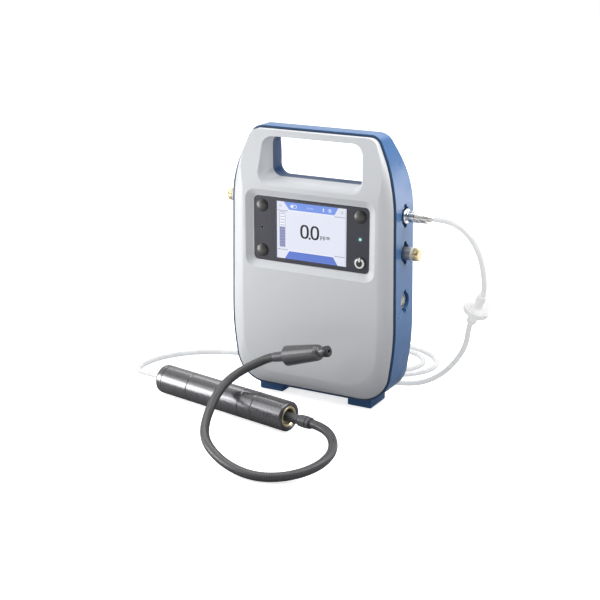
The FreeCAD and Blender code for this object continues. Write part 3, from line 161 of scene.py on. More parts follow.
import bmesh
import bpy
from mathutils import Matrix, Vector

CAD_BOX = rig.bounds()
MM = 0.001
NODES = frame["nodes"]
JOINTS = {joint["name"]: joint for joint in frame["joints"]}

# The CAD's own layout point: on the floor under the middle of the casing.
CASING_REAR_Y = 23 * MM
shell_low, shell_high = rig.box("rear_shell")
LAYOUT = Vector(((shell_low.x + shell_high.x) / 2, shell_high.y - CASING_REAR_Y, 0))

# Camera, as a place over the layout point, a viewing direction and a field of view.
CAMERA_PLACE = Vector((0.5488, -1.0506, 0.4541))
CAMERA_AZIMUTH = 28.5
CAMERA_DROP = 16.94
CAMERA_LENS = 80.67
CAMERA_SENSOR = 36.0

# Handle opening in the rear shell, for the shade inside it.
OPENING_MIDDLE_Z = 224 * MM
OPENING_HALF_WIDTH = 58 * MM
OPENING_HALF_HEIGHT = 25 * MM
OPENING_BLEND = 2 * MM

# Studio: how bright the floor shows by itself, the dim sky off camera as ramps over a direction's
# Y, Z and X (from, to, first value, last value), and the soft lights.
FLOOR_HALF = 4.0
FLOOR_DROP = 0.05 * MM
FLOOR_GLOW = 0.72
FLOOR_NEAR = (0.34, 0.34, 0.35)
FLOOR_FAR = (0.98, 0.98, 0.98)
FLOOR_FADE = (0.22, 0.75)
SKY_BEHIND = (-0.4, 0.6, 0.14, 0.75)
SKY_ABOVE = (0.1, 0.9, 0.0, 0.3)
SKY_RIGHT = (-0.6, 0.8, 1.15, 0.55)
LIGHT_AIM = (0, 0, 0.12)
SOFTBOXES = [
    ("key", (-1.15, -1.0, 0.95), (0.9, 1.2), 7.5),
    ("low_left", (-0.47, -0.27, 0.06), (0.25, 0.35), 2.7),
    ("upper_right", (0.42, 0.05, 0.50), (0.3, 0.3), 2.0),
    ("streak", (-0.15, -0.25, 1.2), (1.1, 0.35), 5.0),
    ("side_sheen", (0.55, 0.85, 0.10), (0.5, 0.4), 2.0),
    ("overhead", (-0.25, 0.85, 1.1), (1.5, 0.6), 8)]

# Screen: its active area inside the display window.
SCREEN_MARGIN = 0.9 * MM
SCREEN_SHIFT = (0.85 * MM, -0.35 * MM)
SCREEN_LIFT = 0.02 * MM
SCREEN_LAYER = 0.015 * MM

# Buttons.
BUTTON_RADIUS = 5.8 * MM
BUTTON_DOME = 1.3 * MM
BUTTON_LIGHT_SHIFT = 0.8 * MM

# Power mark printed on its button: a ring open at the top, and an upright stroke.
POWER_RING_RADII = (3.15 * MM, 4.75 * MM)
POWER_GAP = math.radians(24)
POWER_RING_STEPS = 56
POWER_STROKE_LOW = 1.3 * MM
POWER_STROKE_LENGTH = 3.9 * MM
POWER_STROKE_WIDTH = 1.5 * MM
POWER_STROKE_STEPS = 8
PRINT_LIFT = 0.05 * MM
PRINT_THICKNESS = 0.06 * MM

# Charging socket: where the painted shade of the gap round its insulator starts, and how fast it gets dark.
SOCKET_GAP_SHADE_START = 3.9 * MM
SOCKET_GAP_SHADE_BLEND = 0.3 * MM

# Teal glow on the panel round the status light.
STATUS_GLOW_REACH = 3.6 * MM
STATUS_GLOW_CORE = 1.0 * MM
STATUS_GLOW_STRENGTH = 0.20

# Gooseneck: radius and ribs. Its path repeats the CAD's, from the wand to the probe sleeve.
NECK_RADIUS = 3.98 * MM
NECK_RIB_DEPTH = 0.17 * MM
NECK_RIB_PITCH = 1.25 * MM
NECK_SHADE = (0.008, 0.008, 0.009)
NECK_SIDES = 30
NECK_END_GAP = 0.2 * MM
NECK_BENDS = [("neck_lift", 9 * MM), ("neck_swing", 9 * MM), ("probe_tilt", 6 * MM)]
NECK_PATH = [
    (66, -110.5, 14), (83, -138.5, 11), (82.5, -163.5, 8), (68, -185.5, 5.3), (45.5, -196, 4.4),
    (17.5, -193, 6.5), (-4.5, -181.5, 9.2), (-28, -158, 12), (-42.5, -129.5, 17.5),
    (-47.5, -107.5, 26.5), (-45, -90, 36), (-35.5, -76.5, 44.2), (-25, -70.3, 50.3)]
WAND_FAR_END = Vector((-132.8, -62.6, 13.5)) * MM
WAND_YAW = -11.1
NECK_START = 178 * MM
HEAD_START = Vector((2.8, -69.1, 60.5)) * MM
HEAD_AXIS = Vector((0.955, -0.099, 0.278)).normalized()
PROBE_SLEEVE = 15 * MM

WAND_AXIS = Vector((math.cos(math.radians(WAND_YAW)), math.sin(math.radians(WAND_YAW)), 0))
X_AXIS = Vector((1, 0, 0))


# ---------------------------------------------------------------- shader building

class Shader:
    """A material whose node tree is built step by step round one Principled BSDF."""

    def __init__(self, name):
        self.material = bpy.data.materials.new(name)
        self.material.use_nodes = True
        self.tree = self.material.node_tree
        self.surface = self.tree.nodes["Principled BSDF"]
        self.place = self.node("ShaderNodeTexCoord").outputs["Object"]

    def node(self, kind, **settings):
        """New node with its properties set."""
        made = self.tree.nodes.new(kind)
        for key, value in settings.items():
            setattr(made, key, value)
        return made

    def feed(self, socket, value):
        """Gives an input either a link or a plain value."""
        if isinstance(value, bpy.types.NodeSocket):
            self.tree.links.new(value, socket)
        elif isinstance(value, (tuple, list)) and len(value) == 3 and socket.type == "RGBA":
            socket.default_value = (*value, 1.0)
        else:
            socket.default_value = value

    def set(self, **inputs):
        """Sets inputs of the Principled BSDF; underscores stand for spaces."""
        for key, value in inputs.items():
            self.feed(self.surface.inputs[key.replace("_", " ")], value)

    def math(self, operation, first, second=0.0, third=0.0):
        """Result of one math node."""
        made = self.node("ShaderNodeMath", operation=operation)
        for socket, value in zip(made.inputs, (first, second, third)):
            self.feed(socket, value)
        return made.outputs[0]

    def noise(self, size, detail=2.0, distortion=0.0):
        """Noise whose features are about size across."""
        made = self.node("ShaderNodeTexNoise")
        self.feed(made.inputs["Vector"], self.place)
        made.inputs["Scale"].default_value = 1 / size
        made.inputs["Detail"].default_value = detail
        made.inputs["Distortion"].default_value = distortion
        return made.outputs["Fac"]

    def split(self):
        """X, Y and Z of the place."""
        made = self.node("ShaderNodeSeparateXYZ")
        self.feed(made.inputs[0], self.place)
        return made.outputs

    def gap(self, point):
        """Distance from a point."""
        made = self.node("ShaderNodeVectorMath", operation="DISTANCE")
        self.feed(made.inputs[0], self.place)
        made.inputs[1].default_value = point
        return made.outputs["Value"]

    def along(self, axis):
        """Distance along an axis."""
        made = self.node("ShaderNodeVectorMath", operation="DOT_PRODUCT")
        self.feed(made.inputs[0], self.place)
        made.inputs[1].default_value = axis
        return made.outputs["Value"]

    def lines(self, distance, size, detail=2.0):
        """One-dimensional noise over a distance: fine lines about size apart."""
        made = self.node("ShaderNodeTexNoise", noise_dimensions="1D")
        self.feed(made.inputs["W"], distance)
        made.inputs["Scale"].default_value = 1 / size
        made.inputs["Detail"].default_value = detail
        return made.outputs["Fac"]

    def remap(self, value, low, high, to_low=0.0, to_high=1.0):
        """Value moved from one range to another, and held inside it."""
        made = self.node("ShaderNodeMapRange", clamp=True)
        for key, number in zip(("From Min", "From Max", "To Min", "To Max"), (low, high, to_low, to_high)):
            made.inputs[key].default_value = number
        self.feed(made.inputs["Value"], value)
        return made.outputs["Result"]

    def mix(self, factor, first, second):
        """Blend of two colours."""
        made = self.node("ShaderNodeMix", data_type="RGBA")
        self.feed(made.inputs[0], factor)
        self.feed(made.inputs[6], first)
        self.feed(made.inputs[7], second)
        return made.outputs[2]

    def edges(self, radius):
        """1 on sharp edges and 0 on open faces."""
        rounded = self.node("ShaderNodeBevel", samples=4)
        rounded.inputs["Radius"].default_value = radius
        flat = self.node("ShaderNodeNewGeometry").outputs["Normal"]
        dot = self.node("ShaderNodeVectorMath", operation="DOT_PRODUCT")
        self.feed(dot.inputs[0], rounded.outputs["Normal"])
        self.feed(dot.inputs[1], flat)
        return self.remap(dot.outputs["Value"], 0.985, 0.80)

    def facing(self, blend):
        """0 where the surface faces the eye and 1 at its outline."""
        made = self.node("ShaderNodeLayerWeight")
        made.inputs["Blend"].default_value = blend
        return made.outputs["Facing"]

    def darken_outline(self, colour, blend, power=1.5):
        """Painted shade: blends the base colour towards a darker colour at the outline."""
        edge = self.math("POWER", self.facing(blend), power)
        self.set(Base_Color=self.mix(edge, self.painted(), colour))

    def bump(self, height, depth):
        """Bumps of the given depth."""
        made = self.node("ShaderNodeBump")
        made.inputs["Distance"].default_value = depth
        made.inputs["Strength"].default_value = 1.0
        self.feed(made.inputs["Height"], height)
        return made.outputs["Normal"]

    def painted(self):
        """The colour that feeds the surface now."""
        return self.surface.inputs["Base Color"].links[0].from_socket


def shade(colour, amount):
    """A colour made lighter or darker."""
    return tuple(min(1.0, channel * amount) for channel in colour)


def front_middle(node):
    """Middle of a CAD node's front side."""
    low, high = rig.box(node)
    return Vector(((low.x + high.x) / 2, low.y, (low.z + high.z) / 2))


# ---------------------------------------------------------------- materials

def moulded(name, colour, roughness, grain=0.5, depth=0.02, mottle=0.05, wear=1.25, coat=0.0):
    """Moulded plastic or rubber: spark-eroded grain, faint mottling and paler edges."""
    shader = Shader(name)
    cloud = shader.noise(45 * MM, 3)
    base = shader.mix(cloud, shade(colour, 1 - mottle), shade(colour, 1 + mottle))
    scuffs = shader.noise(6 * MM, 5, distortion=0.6)
    edge = shader.math("MULTIPLY", shader.edges(0.5 * MM), shader.remap(scuffs, 0.35, 0.7))
    base = shader.mix(edge, base, shade(colour, wear))
    fine = shader.noise(grain * MM, 3)
    smudge = shader.remap(shader.noise(20 * MM, 4), 0.3, 0.7, -0.05, 0.06)
    rough = shader.math("ADD", shader.remap(fine, 0.3, 0.7, roughness - 0.04, roughness + 0.05), smudge)
    shader.set(
        Base_Color=base, Roughness=rough, Normal=shader.bump(fine, depth * MM), Coat_Weight=coat,
        Coat_Roughness=0.12, Specular_IOR_Level=0.5)
    return shader


def metal(
        name, colour, roughness, axis=None, pitch=0.18, depth=0.006, wear=1.3, metallic=1.0, stains=0.1):
    """Turned or ground metal: tool lines across an axis, faint stains and brighter edges."""
    shader = Shader(name)
    line = shader.lines(shader.along(axis), pitch * MM, 3) if axis else shader.noise(pitch * MM, 3)
    stain = shader.noise(9 * MM, 4)
    base = shader.mix(stain, shade(colour, 1 - stains), shade(colour, 1 + stains))
    base = shader.mix(shader.remap(line, 0.3, 0.7, 0.0, 0.35), base, shade(colour, 0.8))
    base = shader.mix(shader.edges(0.25 * MM), base, shade(colour, wear))
    rough = shader.math("ADD", shader.remap(line, 0.3, 0.7, roughness * 0.8, roughness * 1.25),
                        shader.remap(stain, 0.3, 0.7, -0.4 * stains, 0.5 * stains))
    shader.set(
        Base_Color=base, Metallic=metallic, Roughness=rough, Normal=shader.bump(line, depth * MM))
    return shader


def anodised(name, colour, roughness, axis):
    """Dark anodised tube: fine turning lines, cloudy dye, rubbed edges, and painted shade that darkens its outline."""
    shader = metal(
        name, colour, roughness, axis, pitch=0.12, depth=0.003, wear=2.6, metallic=0.75, stains=0.04)
    # Painted shade: the outline darkens to 0.12 of the tube's colour.
    shader.darken_outline(shade(colour, 0.12), 0.42, 1.8)
    shader.set(Coat_Weight=0.35, Coat_Roughness=0.18)
    return shader


def clear_plastic(name, colour, roughness, haze_size, glow):
    """Milky clear plastic: a painted glow stands in for the backdrop's light passing through it, with flow haze inside
    and painted shade that makes its edges greyer.
    """
    shader = Shader(name)
    haze = shader.noise(haze_size * MM, 4, distortion=0.4)
    edge = shader.math("POWER", shader.facing(0.4), 2.0)
    base = shader.mix(haze, shade(colour, 0.30), shade(colour, 0.36))
    # Painted glow for light passing through, 30 % weaker at the outline as painted shade.
    lit = shader.math("MULTIPLY", shader.remap(haze, 0.3, 0.7, glow * 0.97, glow * 1.03),
                      shader.math("MULTIPLY_ADD", edge, -0.30, 1.0))
    shader.set(
        Base_Color=base, Roughness=shader.remap(haze, 0.3, 0.7, roughness, roughness + 0.12),
        Transmission_Weight=0.12, IOR=1.42, Emission_Color=colour, Emission_Strength=lit,
        Normal=shader.bump(shader.noise(1.2 * MM, 2), 0.003 * MM))
    return shader


def backlit(name, colour, strength, pixel=0.22):
    """Lit display surface: a pixel grid behind a glossy pane."""
    shader = Shader(name)
    place = shader.split()
    grid = None
    for channel in ("X", "Z"):
        wave = shader.math("PINGPONG", place[channel], pixel * MM / 2)
        line = shader.remap(wave, 0.0, pixel * MM * 0.08, 0.86, 1.0)
        grid = shader.math("MULTIPLY", grid, line) if grid else line
    glow = shader.math("MULTIPLY", grid, shader.remap(shader.noise(30 * MM, 2), 0.3, 0.7, 0.95, 1.03))
    tint = shader.mix(glow, shade(colour, 0.7), colour)
    shader.set(
        Base_Color=shader.mix(0.85, tint, (0, 0, 0)), Roughness=0.4, Specular_IOR_Level=0.2,
        Emission_Color=tint, Emission_Strength=strength, Coat_Weight=0.5, Coat_Roughness=0.05)
    return shader


def dark_panel():
    """Panel film: fine matt grain, with the status light's teal glow around it."""
    shader = moulded(
        "panel_film", (0.032, 0.033, 0.046), 0.40, grain=0.3, depth=0.008, mottle=0.06, wear=1.6)
    glow = shader.remap(shader.gap(front_middle("status_light")), STATUS_GLOW_REACH, STATUS_GLOW_CORE)
    glow = shader.math("POWER", glow, 2.2)
    shader.set(
        Emission_Color=(0.10, 0.75, 0.72),
        Emission_Strength=shader.math("MULTIPLY", glow, STATUS_GLOW_STRENGTH))
    return shader


def button_rubber(name, node, colour):
    """Rubber button: satin dome with painted shade that gets darker towards its rim and where it meets the panel,
    lightest a little left of its middle.
    """
    shader = moulded(name, colour, 0.30, grain=0.35, depth=0.012, mottle=0.10, wear=1.2)
    lit = front_middle(node) - X_AXIS * BUTTON_LIGHT_SHIFT
    # Painted shade: darker away from a point a little left of the middle, down to 0.22 of the colour at the rim.
    rim_shade = shader.remap(shader.gap(lit), BUTTON_RADIUS * 0.35, BUTTON_RADIUS * 1.12)
    base = shader.painted()
    shader.set(Base_Color=shader.mix(shader.math("POWER", rim_shade, 1.6), base, shade(colour, 0.22)))
    return shader


def socket_plastic():
    """Pale insulator of the charging socket, with painted shade of the gap round it on its outer part."""
    shader = moulded("socket_plastic", (0.86, 0.85, 0.80), 0.4, grain=0.4, depth=0.008)
    low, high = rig.box("socket_insert")
    place = shader.split()
    beside = shader.math("SUBTRACT", place["Y"], (low.y + high.y) / 2)
    above = shader.math("SUBTRACT", place["Z"], (low.z + high.z) / 2)
    square = shader.math("MULTIPLY_ADD", beside, beside, shader.math("MULTIPLY", above, above))
    # Painted shade of the gap: near black outside a circle round the insulator's middle.
    gap = shader.remap(shader.math("SQRT", square), SOCKET_GAP_SHADE_START, SOCKET_GAP_SHADE_START + SOCKET_GAP_SHADE_BLEND)
    base = shader.painted()
    shader.set(Base_Color=shader.mix(gap, base, (0.03, 0.03, 0.035)))
    return shader


def status_lens():
    """Lit teal light guide."""
    shader = Shader("status_lens")
    core = shader.noise(1.5 * MM, 2)
    tint = shader.mix(core, (0.35, 0.85, 0.82), (0.75, 1.0, 0.97))
    shader.set(Base_Color=tint, Roughness=0.2, Emission_Color=tint, Emission_Strength=0.22)
    return shader


def neck_rubber():
    """Gooseneck jacket: satin rubber, with painted shade down between its ribs and at its outline."""
    shader = moulded(
        "neck_rubber", (0.095, 0.095, 0.100), 0.33, grain=0.35, depth=0.010, mottle=0.15, wear=1.3)
    sweep = shader.node("ShaderNodeSeparateXYZ")
    shader.feed(sweep.inputs[0], shader.node("ShaderNodeUVMap", uv_map="sweep").outputs["UV"])
    wave = shader.math("PINGPONG", sweep.outputs["Y"], NECK_RIB_PITCH / 2)
    # Painted shade in the rib valleys, then painted shade at the outline.
    valley_shade = shader.remap(wave, NECK_RIB_PITCH * 0.22, 0.0)
    base = shader.painted()
    shader.set(Base_Color=shader.mix(shader.math("MULTIPLY", valley_shade, 0.85), base, NECK_SHADE))
    shader.darken_outline(NECK_SHADE, 0.42)
    return shader


def circuit_board():
    """Green board with copper traces under the mask."""
    shader = Shader("circuit_board")
    cells = shader.node("ShaderNodeTexVoronoi", distance="MANHATTAN", feature="DISTANCE_TO_EDGE")
    shader.feed(cells.inputs["Vector"], shader.place)
    cells.inputs["Scale"].default_value = 1 / (3 * MM)
    trace = shader.remap(cells.outputs["Distance"], 0.03, 0.06)
    base = shader.mix(trace, (0.05, 0.30, 0.12), (0.015, 0.14, 0.06))
    shader.set(
        Base_Color=base, Roughness=shader.remap(shader.noise(4 * MM, 3), 0.3, 0.7, 0.3, 0.45),
        Normal=shader.bump(trace, -0.03 * MM))
    return shader


def paper():
    """Pressed filter paper."""
    shader = Shader("filter_paper")
    fibre = shader.noise(0.5 * MM, 6, distortion=1.5)
    shader.set(
        Base_Color=shader.mix(fibre, (0.78, 0.78, 0.75), (0.92, 0.92, 0.9)), Roughness=0.9,
        Normal=shader.bump(fibre, 0.05 * MM))
    return shader


def casing_blue():
    """Blue plastic of the rear shell, with painted shade and weaker reflections inside the handle opening."""
    shader = moulded("blue_plastic", (0.040, 0.128, 0.305), 0.33, grain=0.55, wear=1.35)
    place = shader.split()
    beside = shader.math("ABSOLUTE", shader.math("SUBTRACT", place["X"], LAYOUT.x))
    above = shader.math("ABSOLUTE", shader.math("SUBTRACT", place["Z"], OPENING_MIDDLE_Z))
    # Painted shade: a soft-edged box over the handle opening.
    opening_shade = shader.math(
        "MULTIPLY", shader.remap(beside, OPENING_HALF_WIDTH, OPENING_HALF_WIDTH - OPENING_BLEND),
        shader.remap(above, OPENING_HALF_HEIGHT, OPENING_HALF_HEIGHT - OPENING_BLEND))
    base = shader.painted()
    shader.set(
        Base_Color=shader.mix(opening_shade, base, (0.012, 0.052, 0.15)),
        Specular_IOR_Level=shader.remap(opening_shade, 0.0, 1.0, 0.5, 0.08))
    return shader


BUTTON_COLOUR = (0.058, 0.056, 0.055)

MATERIALS = {
    "blue": casing_blue(),
    "grey": moulded(
        "grey_plastic", (0.60, 0.615, 0.635), 0.42, depth=0.018, mottle=0.02, wear=1.12),
    "gasket": moulded("gasket_rubber", (0.022, 0.045, 0.10), 0.5),
    "panel": dark_panel(),
    "button_1": button_rubber("button_rubber_1", "button_upper_left", BUTTON_COLOUR),
    "button_2": button_rubber("button_rubber_2", "button_lower_left", BUTTON_COLOUR),
    "button_3": button_rubber("button_rubber_3", "button_upper_right", BUTTON_COLOUR),
    "black": moulded("black_rubber", (0.022, 0.022, 0.024), 0.38, grain=0.3, depth=0.01, wear=1.8),
    "boot": moulded("boot_rubber", (0.085, 0.085, 0.095), 0.36, grain=0.35, depth=0.01, wear=1.4),
    "pane": moulded(
        "display_pane", (0.012, 0.018, 0.055), 0.08, grain=2.0, depth=0.001, mottle=0.2, coat=1.0),
    "steel": metal("zinc_screw", (0.62, 0.62, 0.60), 0.32),
    "dark_steel": metal("dark_fitting", (0.56, 0.53, 0.49), 0.38, X_AXIS, pitch=0.3),
    "nickel": metal("nickel_plate", (0.88, 0.87, 0.84), 0.24, X_AXIS, pitch=0.3),
    "brass": metal("turned_brass", (0.85, 0.70, 0.42), 0.24, X_AXIS, pitch=0.3),
    "ring_brass": metal("ring_brass", (0.90, 0.78, 0.52), 0.42, WAND_AXIS, pitch=0.3),
    "gold": metal("gold_contact", (0.9, 0.68, 0.28), 0.2),
    "wand": anodised("wand_anodised", (0.150, 0.149, 0.158), 0.26, WAND_AXIS),
    "head": anodised("head_gunmetal", (0.150, 0.149, 0.157), 0.30, HEAD_AXIS),
    # Hose and filter: the last number is the strength of a painted glow that stands in for light passing through.
    "hose": clear_plastic("clear_hose", (0.955, 0.965, 0.975), 0.20, 14, 0.47),
    "filter": clear_plastic("filter_plastic", (0.97, 0.972, 0.975), 0.26, 7, 0.48),
    "paper": paper(),
    "white": socket_plastic(),
    "seal": moulded("soft_seal", (0.74, 0.72, 0.64), 0.5, grain=0.3, depth=0.01),
    "silicone": moulded("silicone_hose", (0.62, 0.61, 0.58), 0.45),
    "board": circuit_board(),
    "chips": moulded("chip_plastic", (0.03, 0.03, 0.03), 0.4),
    "cells": moulded("battery_wrap", (0.04, 0.12, 0.35), 0.3, coat=0.4),
    "cast": metal("cell_aluminium", (0.70, 0.71, 0.72), 0.35),
    "lens": status_lens(),
    "neck": neck_rubber(),
    "screen_field": backlit("screen_field", (0.73, 0.75, 0.86), 0.93),
    "screen_white": backlit("screen_white", (0.86, 0.87, 0.96), 0.93),
    "screen_blue": backlit("screen_blue", (0.17, 0.29, 0.76), 0.93),
    "screen_deep": backlit("screen_deep", (0.105, 0.185, 0.60), 0.93),
    "screen_pale": backlit("screen_pale", (0.38, 0.48, 0.86), 0.93),
    "screen_grey": backlit("screen_grey", (0.225, 0.245, 0.43), 0.93),
    "screen_faint": backlit("screen_faint", (0.50, 0.52, 0.62), 0.93),
    "screen_black": backlit("screen_black", (0.012, 0.012, 0.018), 0.0),
    "mark": moulded("power_mark", (0.80, 0.80, 0.79), 0.35, grain=0.25, depth=0.006, wear=1.1),
}

PAINT = {
    "blue": ["rear_shell", "battery_door"],
    "grey": ["front_shell"],
    "gasket": ["shell_gasket"],
    "panel": ["display_bezel"],
    "pane": ["display_window", "display_module"],
    "button_1": ["button_upper_left"],
    "button_2": ["button_lower_left"],
    "button_3": ["button_upper_right"],
    "black": ["power_button", "probe_tip", "buzzer"],
    "boot": ["wand_cable_boot", "probe_sleeve"],
    "steel": ["shell_screws", "door_screws", "board_spacers", "infrared_detector", "pump_motor"],
    "dark_steel": ["right_gas_port", "left_gas_port", "pump_crank"],
    "nickel": ["inlet_socket", "plug_body", "plug_collar", "power_socket"],
    "brass": ["right_port_cap", "left_port_cap"],
    "ring_brass": ["wand_nose_ring"],
    "gold": ["socket_contacts"],
    "wand": [
        "wand_end_cap", "wand_rear_sleeve", "wand_middle_sleeve", "wand_front_sleeve",
        "wand_nose_sleeve"],
    "head": ["probe_head"],
    "hose": ["sample_hose_upper", "sample_hose_lower"],
    "filter": ["filter_inlet_half", "filter_outlet_half"],
    "paper": ["filter_membrane"],
    "white": ["socket_insert"],
    "seal": ["right_cap_seal", "left_cap_seal"],
    "silicone": ["inner_hoses"],
    "board": ["keypad_board", "main_board"],
    "chips": ["keypad_switches", "main_board_parts", "pump_head", "infrared_source", "wand_core"],
    "cells": ["battery_pack"],
    "cast": ["gas_cell"],
    "lens": ["status_light"],
}


def paint(thing, material):
    """Gives a piece one material."""
    thing.data.materials.clear()
    thing.data.materials.append(MATERIALS[material].material)


def paint_frame():
    """Paints every CAD node."""
    for material, names in PAINT.items():
        for name in names:
            paint(NODES[name], material)


# ---------------------------------------------------------------- mesh helpers

def piece(name, vertices, faces, material, slot, smooth=False):
    """New mesh piece in the scene."""
    mesh = bpy.data.meshes.new(name)
    mesh.from_pydata([tuple(v) for v in vertices], [], faces)
    mesh.validate()
    work = bmesh.new()
    work.from_mesh(mesh)
    bmesh.ops.recalc_face_normals(work, faces=work.faces)
    work.to_mesh(mesh)
    work.free()
    mesh.shade_smooth() if smooth else mesh.shade_flat()
    thing = bpy.data.objects.new(name, mesh)
    bpy.context.scene.collection.objects.link(thing)
    paint(thing, material)
    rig.slot(thing, slot)
    return thing


def plate(outline, y, thickness, hole=None):
    """Vertices and faces of a thin plate facing -Y, from (x, z) points; hole has as many points."""
    count = len(outline)
    vertices = [(x, y, z) for x, z in outline] + [(x, y - thickness, z) for x, z in outline]
    if hole is None:
        faces = [list(range(count)), list(range(count, 2 * count))]
        faces += [[i, (i + 1) % count, (i + 1) % count + count, i + count] for i in range(count)]
        return vertices, faces
    vertices += [(x, y, z) for x, z in hole] + [(x, y - thickness, z) for x, z in hole]
    faces = []
    for i in range(count):
        j = (i + 1) % count
        for a, b in ((0, 1), (1, 3), (3, 2), (2, 0)):
            faces.append([a * count + i, a * count + j, b * count + j, b * count + i])
    return vertices, faces


def superellipse(centre, width, height, power=2.6, count=48):
    """Rounded outline as (x, z) points."""
    points = []
    for index in range(count):
        angle = 2 * math.pi * index / count
        cosine, sine = math.cos(angle), math.sin(angle)
        x = centre[0] + width / 2 * math.copysign(abs(cosine) ** (2 / power), cosine)
        z = centre[1] + height / 2 * math.copysign(abs(sine) ** (2 / power), sine)
        points.append((x, z))
    return points


# ---------------------------------------------------------------- display picture

window_low, window_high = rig.box("display_window")
SCREEN_LOW = (
    window_low.x + SCREEN_MARGIN + SCREEN_SHIFT[0],
    window_low.z + SCREEN_MARGIN + SCREEN_SHIFT[1])
SCREEN_SIZE = (
    window_high.x - window_low.x - 2 * SCREEN_MARGIN,
    window_high.z - window_low.z - 2 * SCREEN_MARGIN)


def on_screen(u, v):
    """Point of the screen from shares of its width and height, from its lower left corner."""
    return SCREEN_LOW[0] + u * SCREEN_SIZE[0], SCREEN_LOW[1] + v * SCREEN_SIZE[1]


def show(name, material, outline, layer, hole=None):
    """One flat area of the picture, in (x, z) points."""
    y = window_low.y - SCREEN_LIFT - layer * SCREEN_LAYER
    vertices, faces = plate(outline, y, SCREEN_LAYER, hole)
    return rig.ride(piece("screen_" + name, vertices, faces, material, "display"), "base_unit")


def area(*places):
    """Outline from places in screen shares."""
    return [on_screen(u, v) for u, v in places]


def corners(left, low, right, high):
    """Corners of a rectangle."""
    return [(left, low), (right, low), (right, high), (left, high)]


def rectangle(u_low, v_low, u_high, v_high):
    """Rectangle in screen shares."""
    return area(*corners(u_low, v_low, u_high, v_high))


def ring(name, material, place, width, height, stroke, layer, power=2.6):
    """Rounded ring, its stroke thinner at top and bottom."""
    outer = superellipse(place, width, height, power)
    inner = superellipse(place, width - 2 * stroke, height - 1.5 * stroke, power)
    return show(name, material, outer, layer, inner)


def display_picture():
    """Header and footer bands, level column, reading and small marks."""
    show("field", "screen_field", rectangle(0, 0, 1, 1), 0)
    show("header", "screen_blue", area((0.10, 1.0), (0.18, 0.868), (0.83, 0.868), (0.885, 1.0)), 1)
    show("footer", "screen_deep", area((0.115, 0.0), (0.18, 0.138), (0.812, 0.138), (0.88, 0.0)), 1)
    for index, (u_low, u_high, v) in enumerate(
            ((0.01, 0.165, 0.843), (0.83, 0.985, 0.843), (0.01, 0.16, 0.157), (0.83, 0.985, 0.157))):
        show(f"rule_{index + 1}", "screen_black", rectangle(u_low, v - 0.003, u_high, v + 0.003), 1)
    for index, v in enumerate((0.852, 0.148)):
        show(f"hairline_{index + 1}", "screen_white", rectangle(0.165, v - 0.005, 0.83, v + 0.005), 1)
    show("edge_line", "screen_faint", rectangle(0.982, 0.02, 0.99, 0.98), 1)
    show("column_edge", "screen_grey", rectangle(0.038, 0.2, 0.122, 0.82), 1)
    show("column_back", "screen_white", rectangle(0.044, 0.21, 0.116, 0.81), 2)
    for index in range(5):
        v = 0.575 + 0.05 * index
        show(f"column_tick_{index + 1}", "screen_faint", rectangle(0.052, v, 0.108, v + 0.022), 3)
    for index in range(7):
        v = 0.212 + 0.0495 * index
        show(f"column_bar_{index + 1}", "screen_grey", rectangle(0.044, v, 0.116, v + 0.0475), 3)
    for index, u in enumerate((0.404, 0.552)):
        ring(f"zero_{index + 1}", "screen_black", on_screen(u, 0.515), 8.8 * MM, 12.8 * MM, 2.15 * MM, 2)
    show("point", "screen_black", superellipse(on_screen(0.478, 0.407), 2.0 * MM, 2.0 * MM, 3, 20), 2)
    unit_letters()
    header_marks()


def unit_letters():
    """Small ppm beside the reading."""
    size = 2.5 * MM
    stroke = 0.62 * MM
    for index, u in enumerate((0.648, 0.69)):
        x, z = on_screen(u, 0.452)
        ring(f"unit_bowl_{index + 1}", "screen_black", (x, z), size * 0.82, size, stroke, 2)
        left = x - size * 0.41
        stem = corners(left, z - size, left + stroke, z + size / 2)
        show(f"unit_stem_{index + 1}", "screen_black", stem, 3)
    x, z = on_screen(0.722, 0.452)
    for index in range(3):
        left = x + index * 1.15 * MM
        leg = corners(left, z - size / 2, left + stroke, z + size * 0.42)
        show(f"unit_leg_{index + 1}", "screen_black", leg, 2)
    right = x + 2.3 * MM
    low, high = z + size * 0.3, z + size / 2
    top = [(x, low), (right + stroke, low), (right, high), (x, high)]
    show("unit_arch", "screen_black", top, 3)


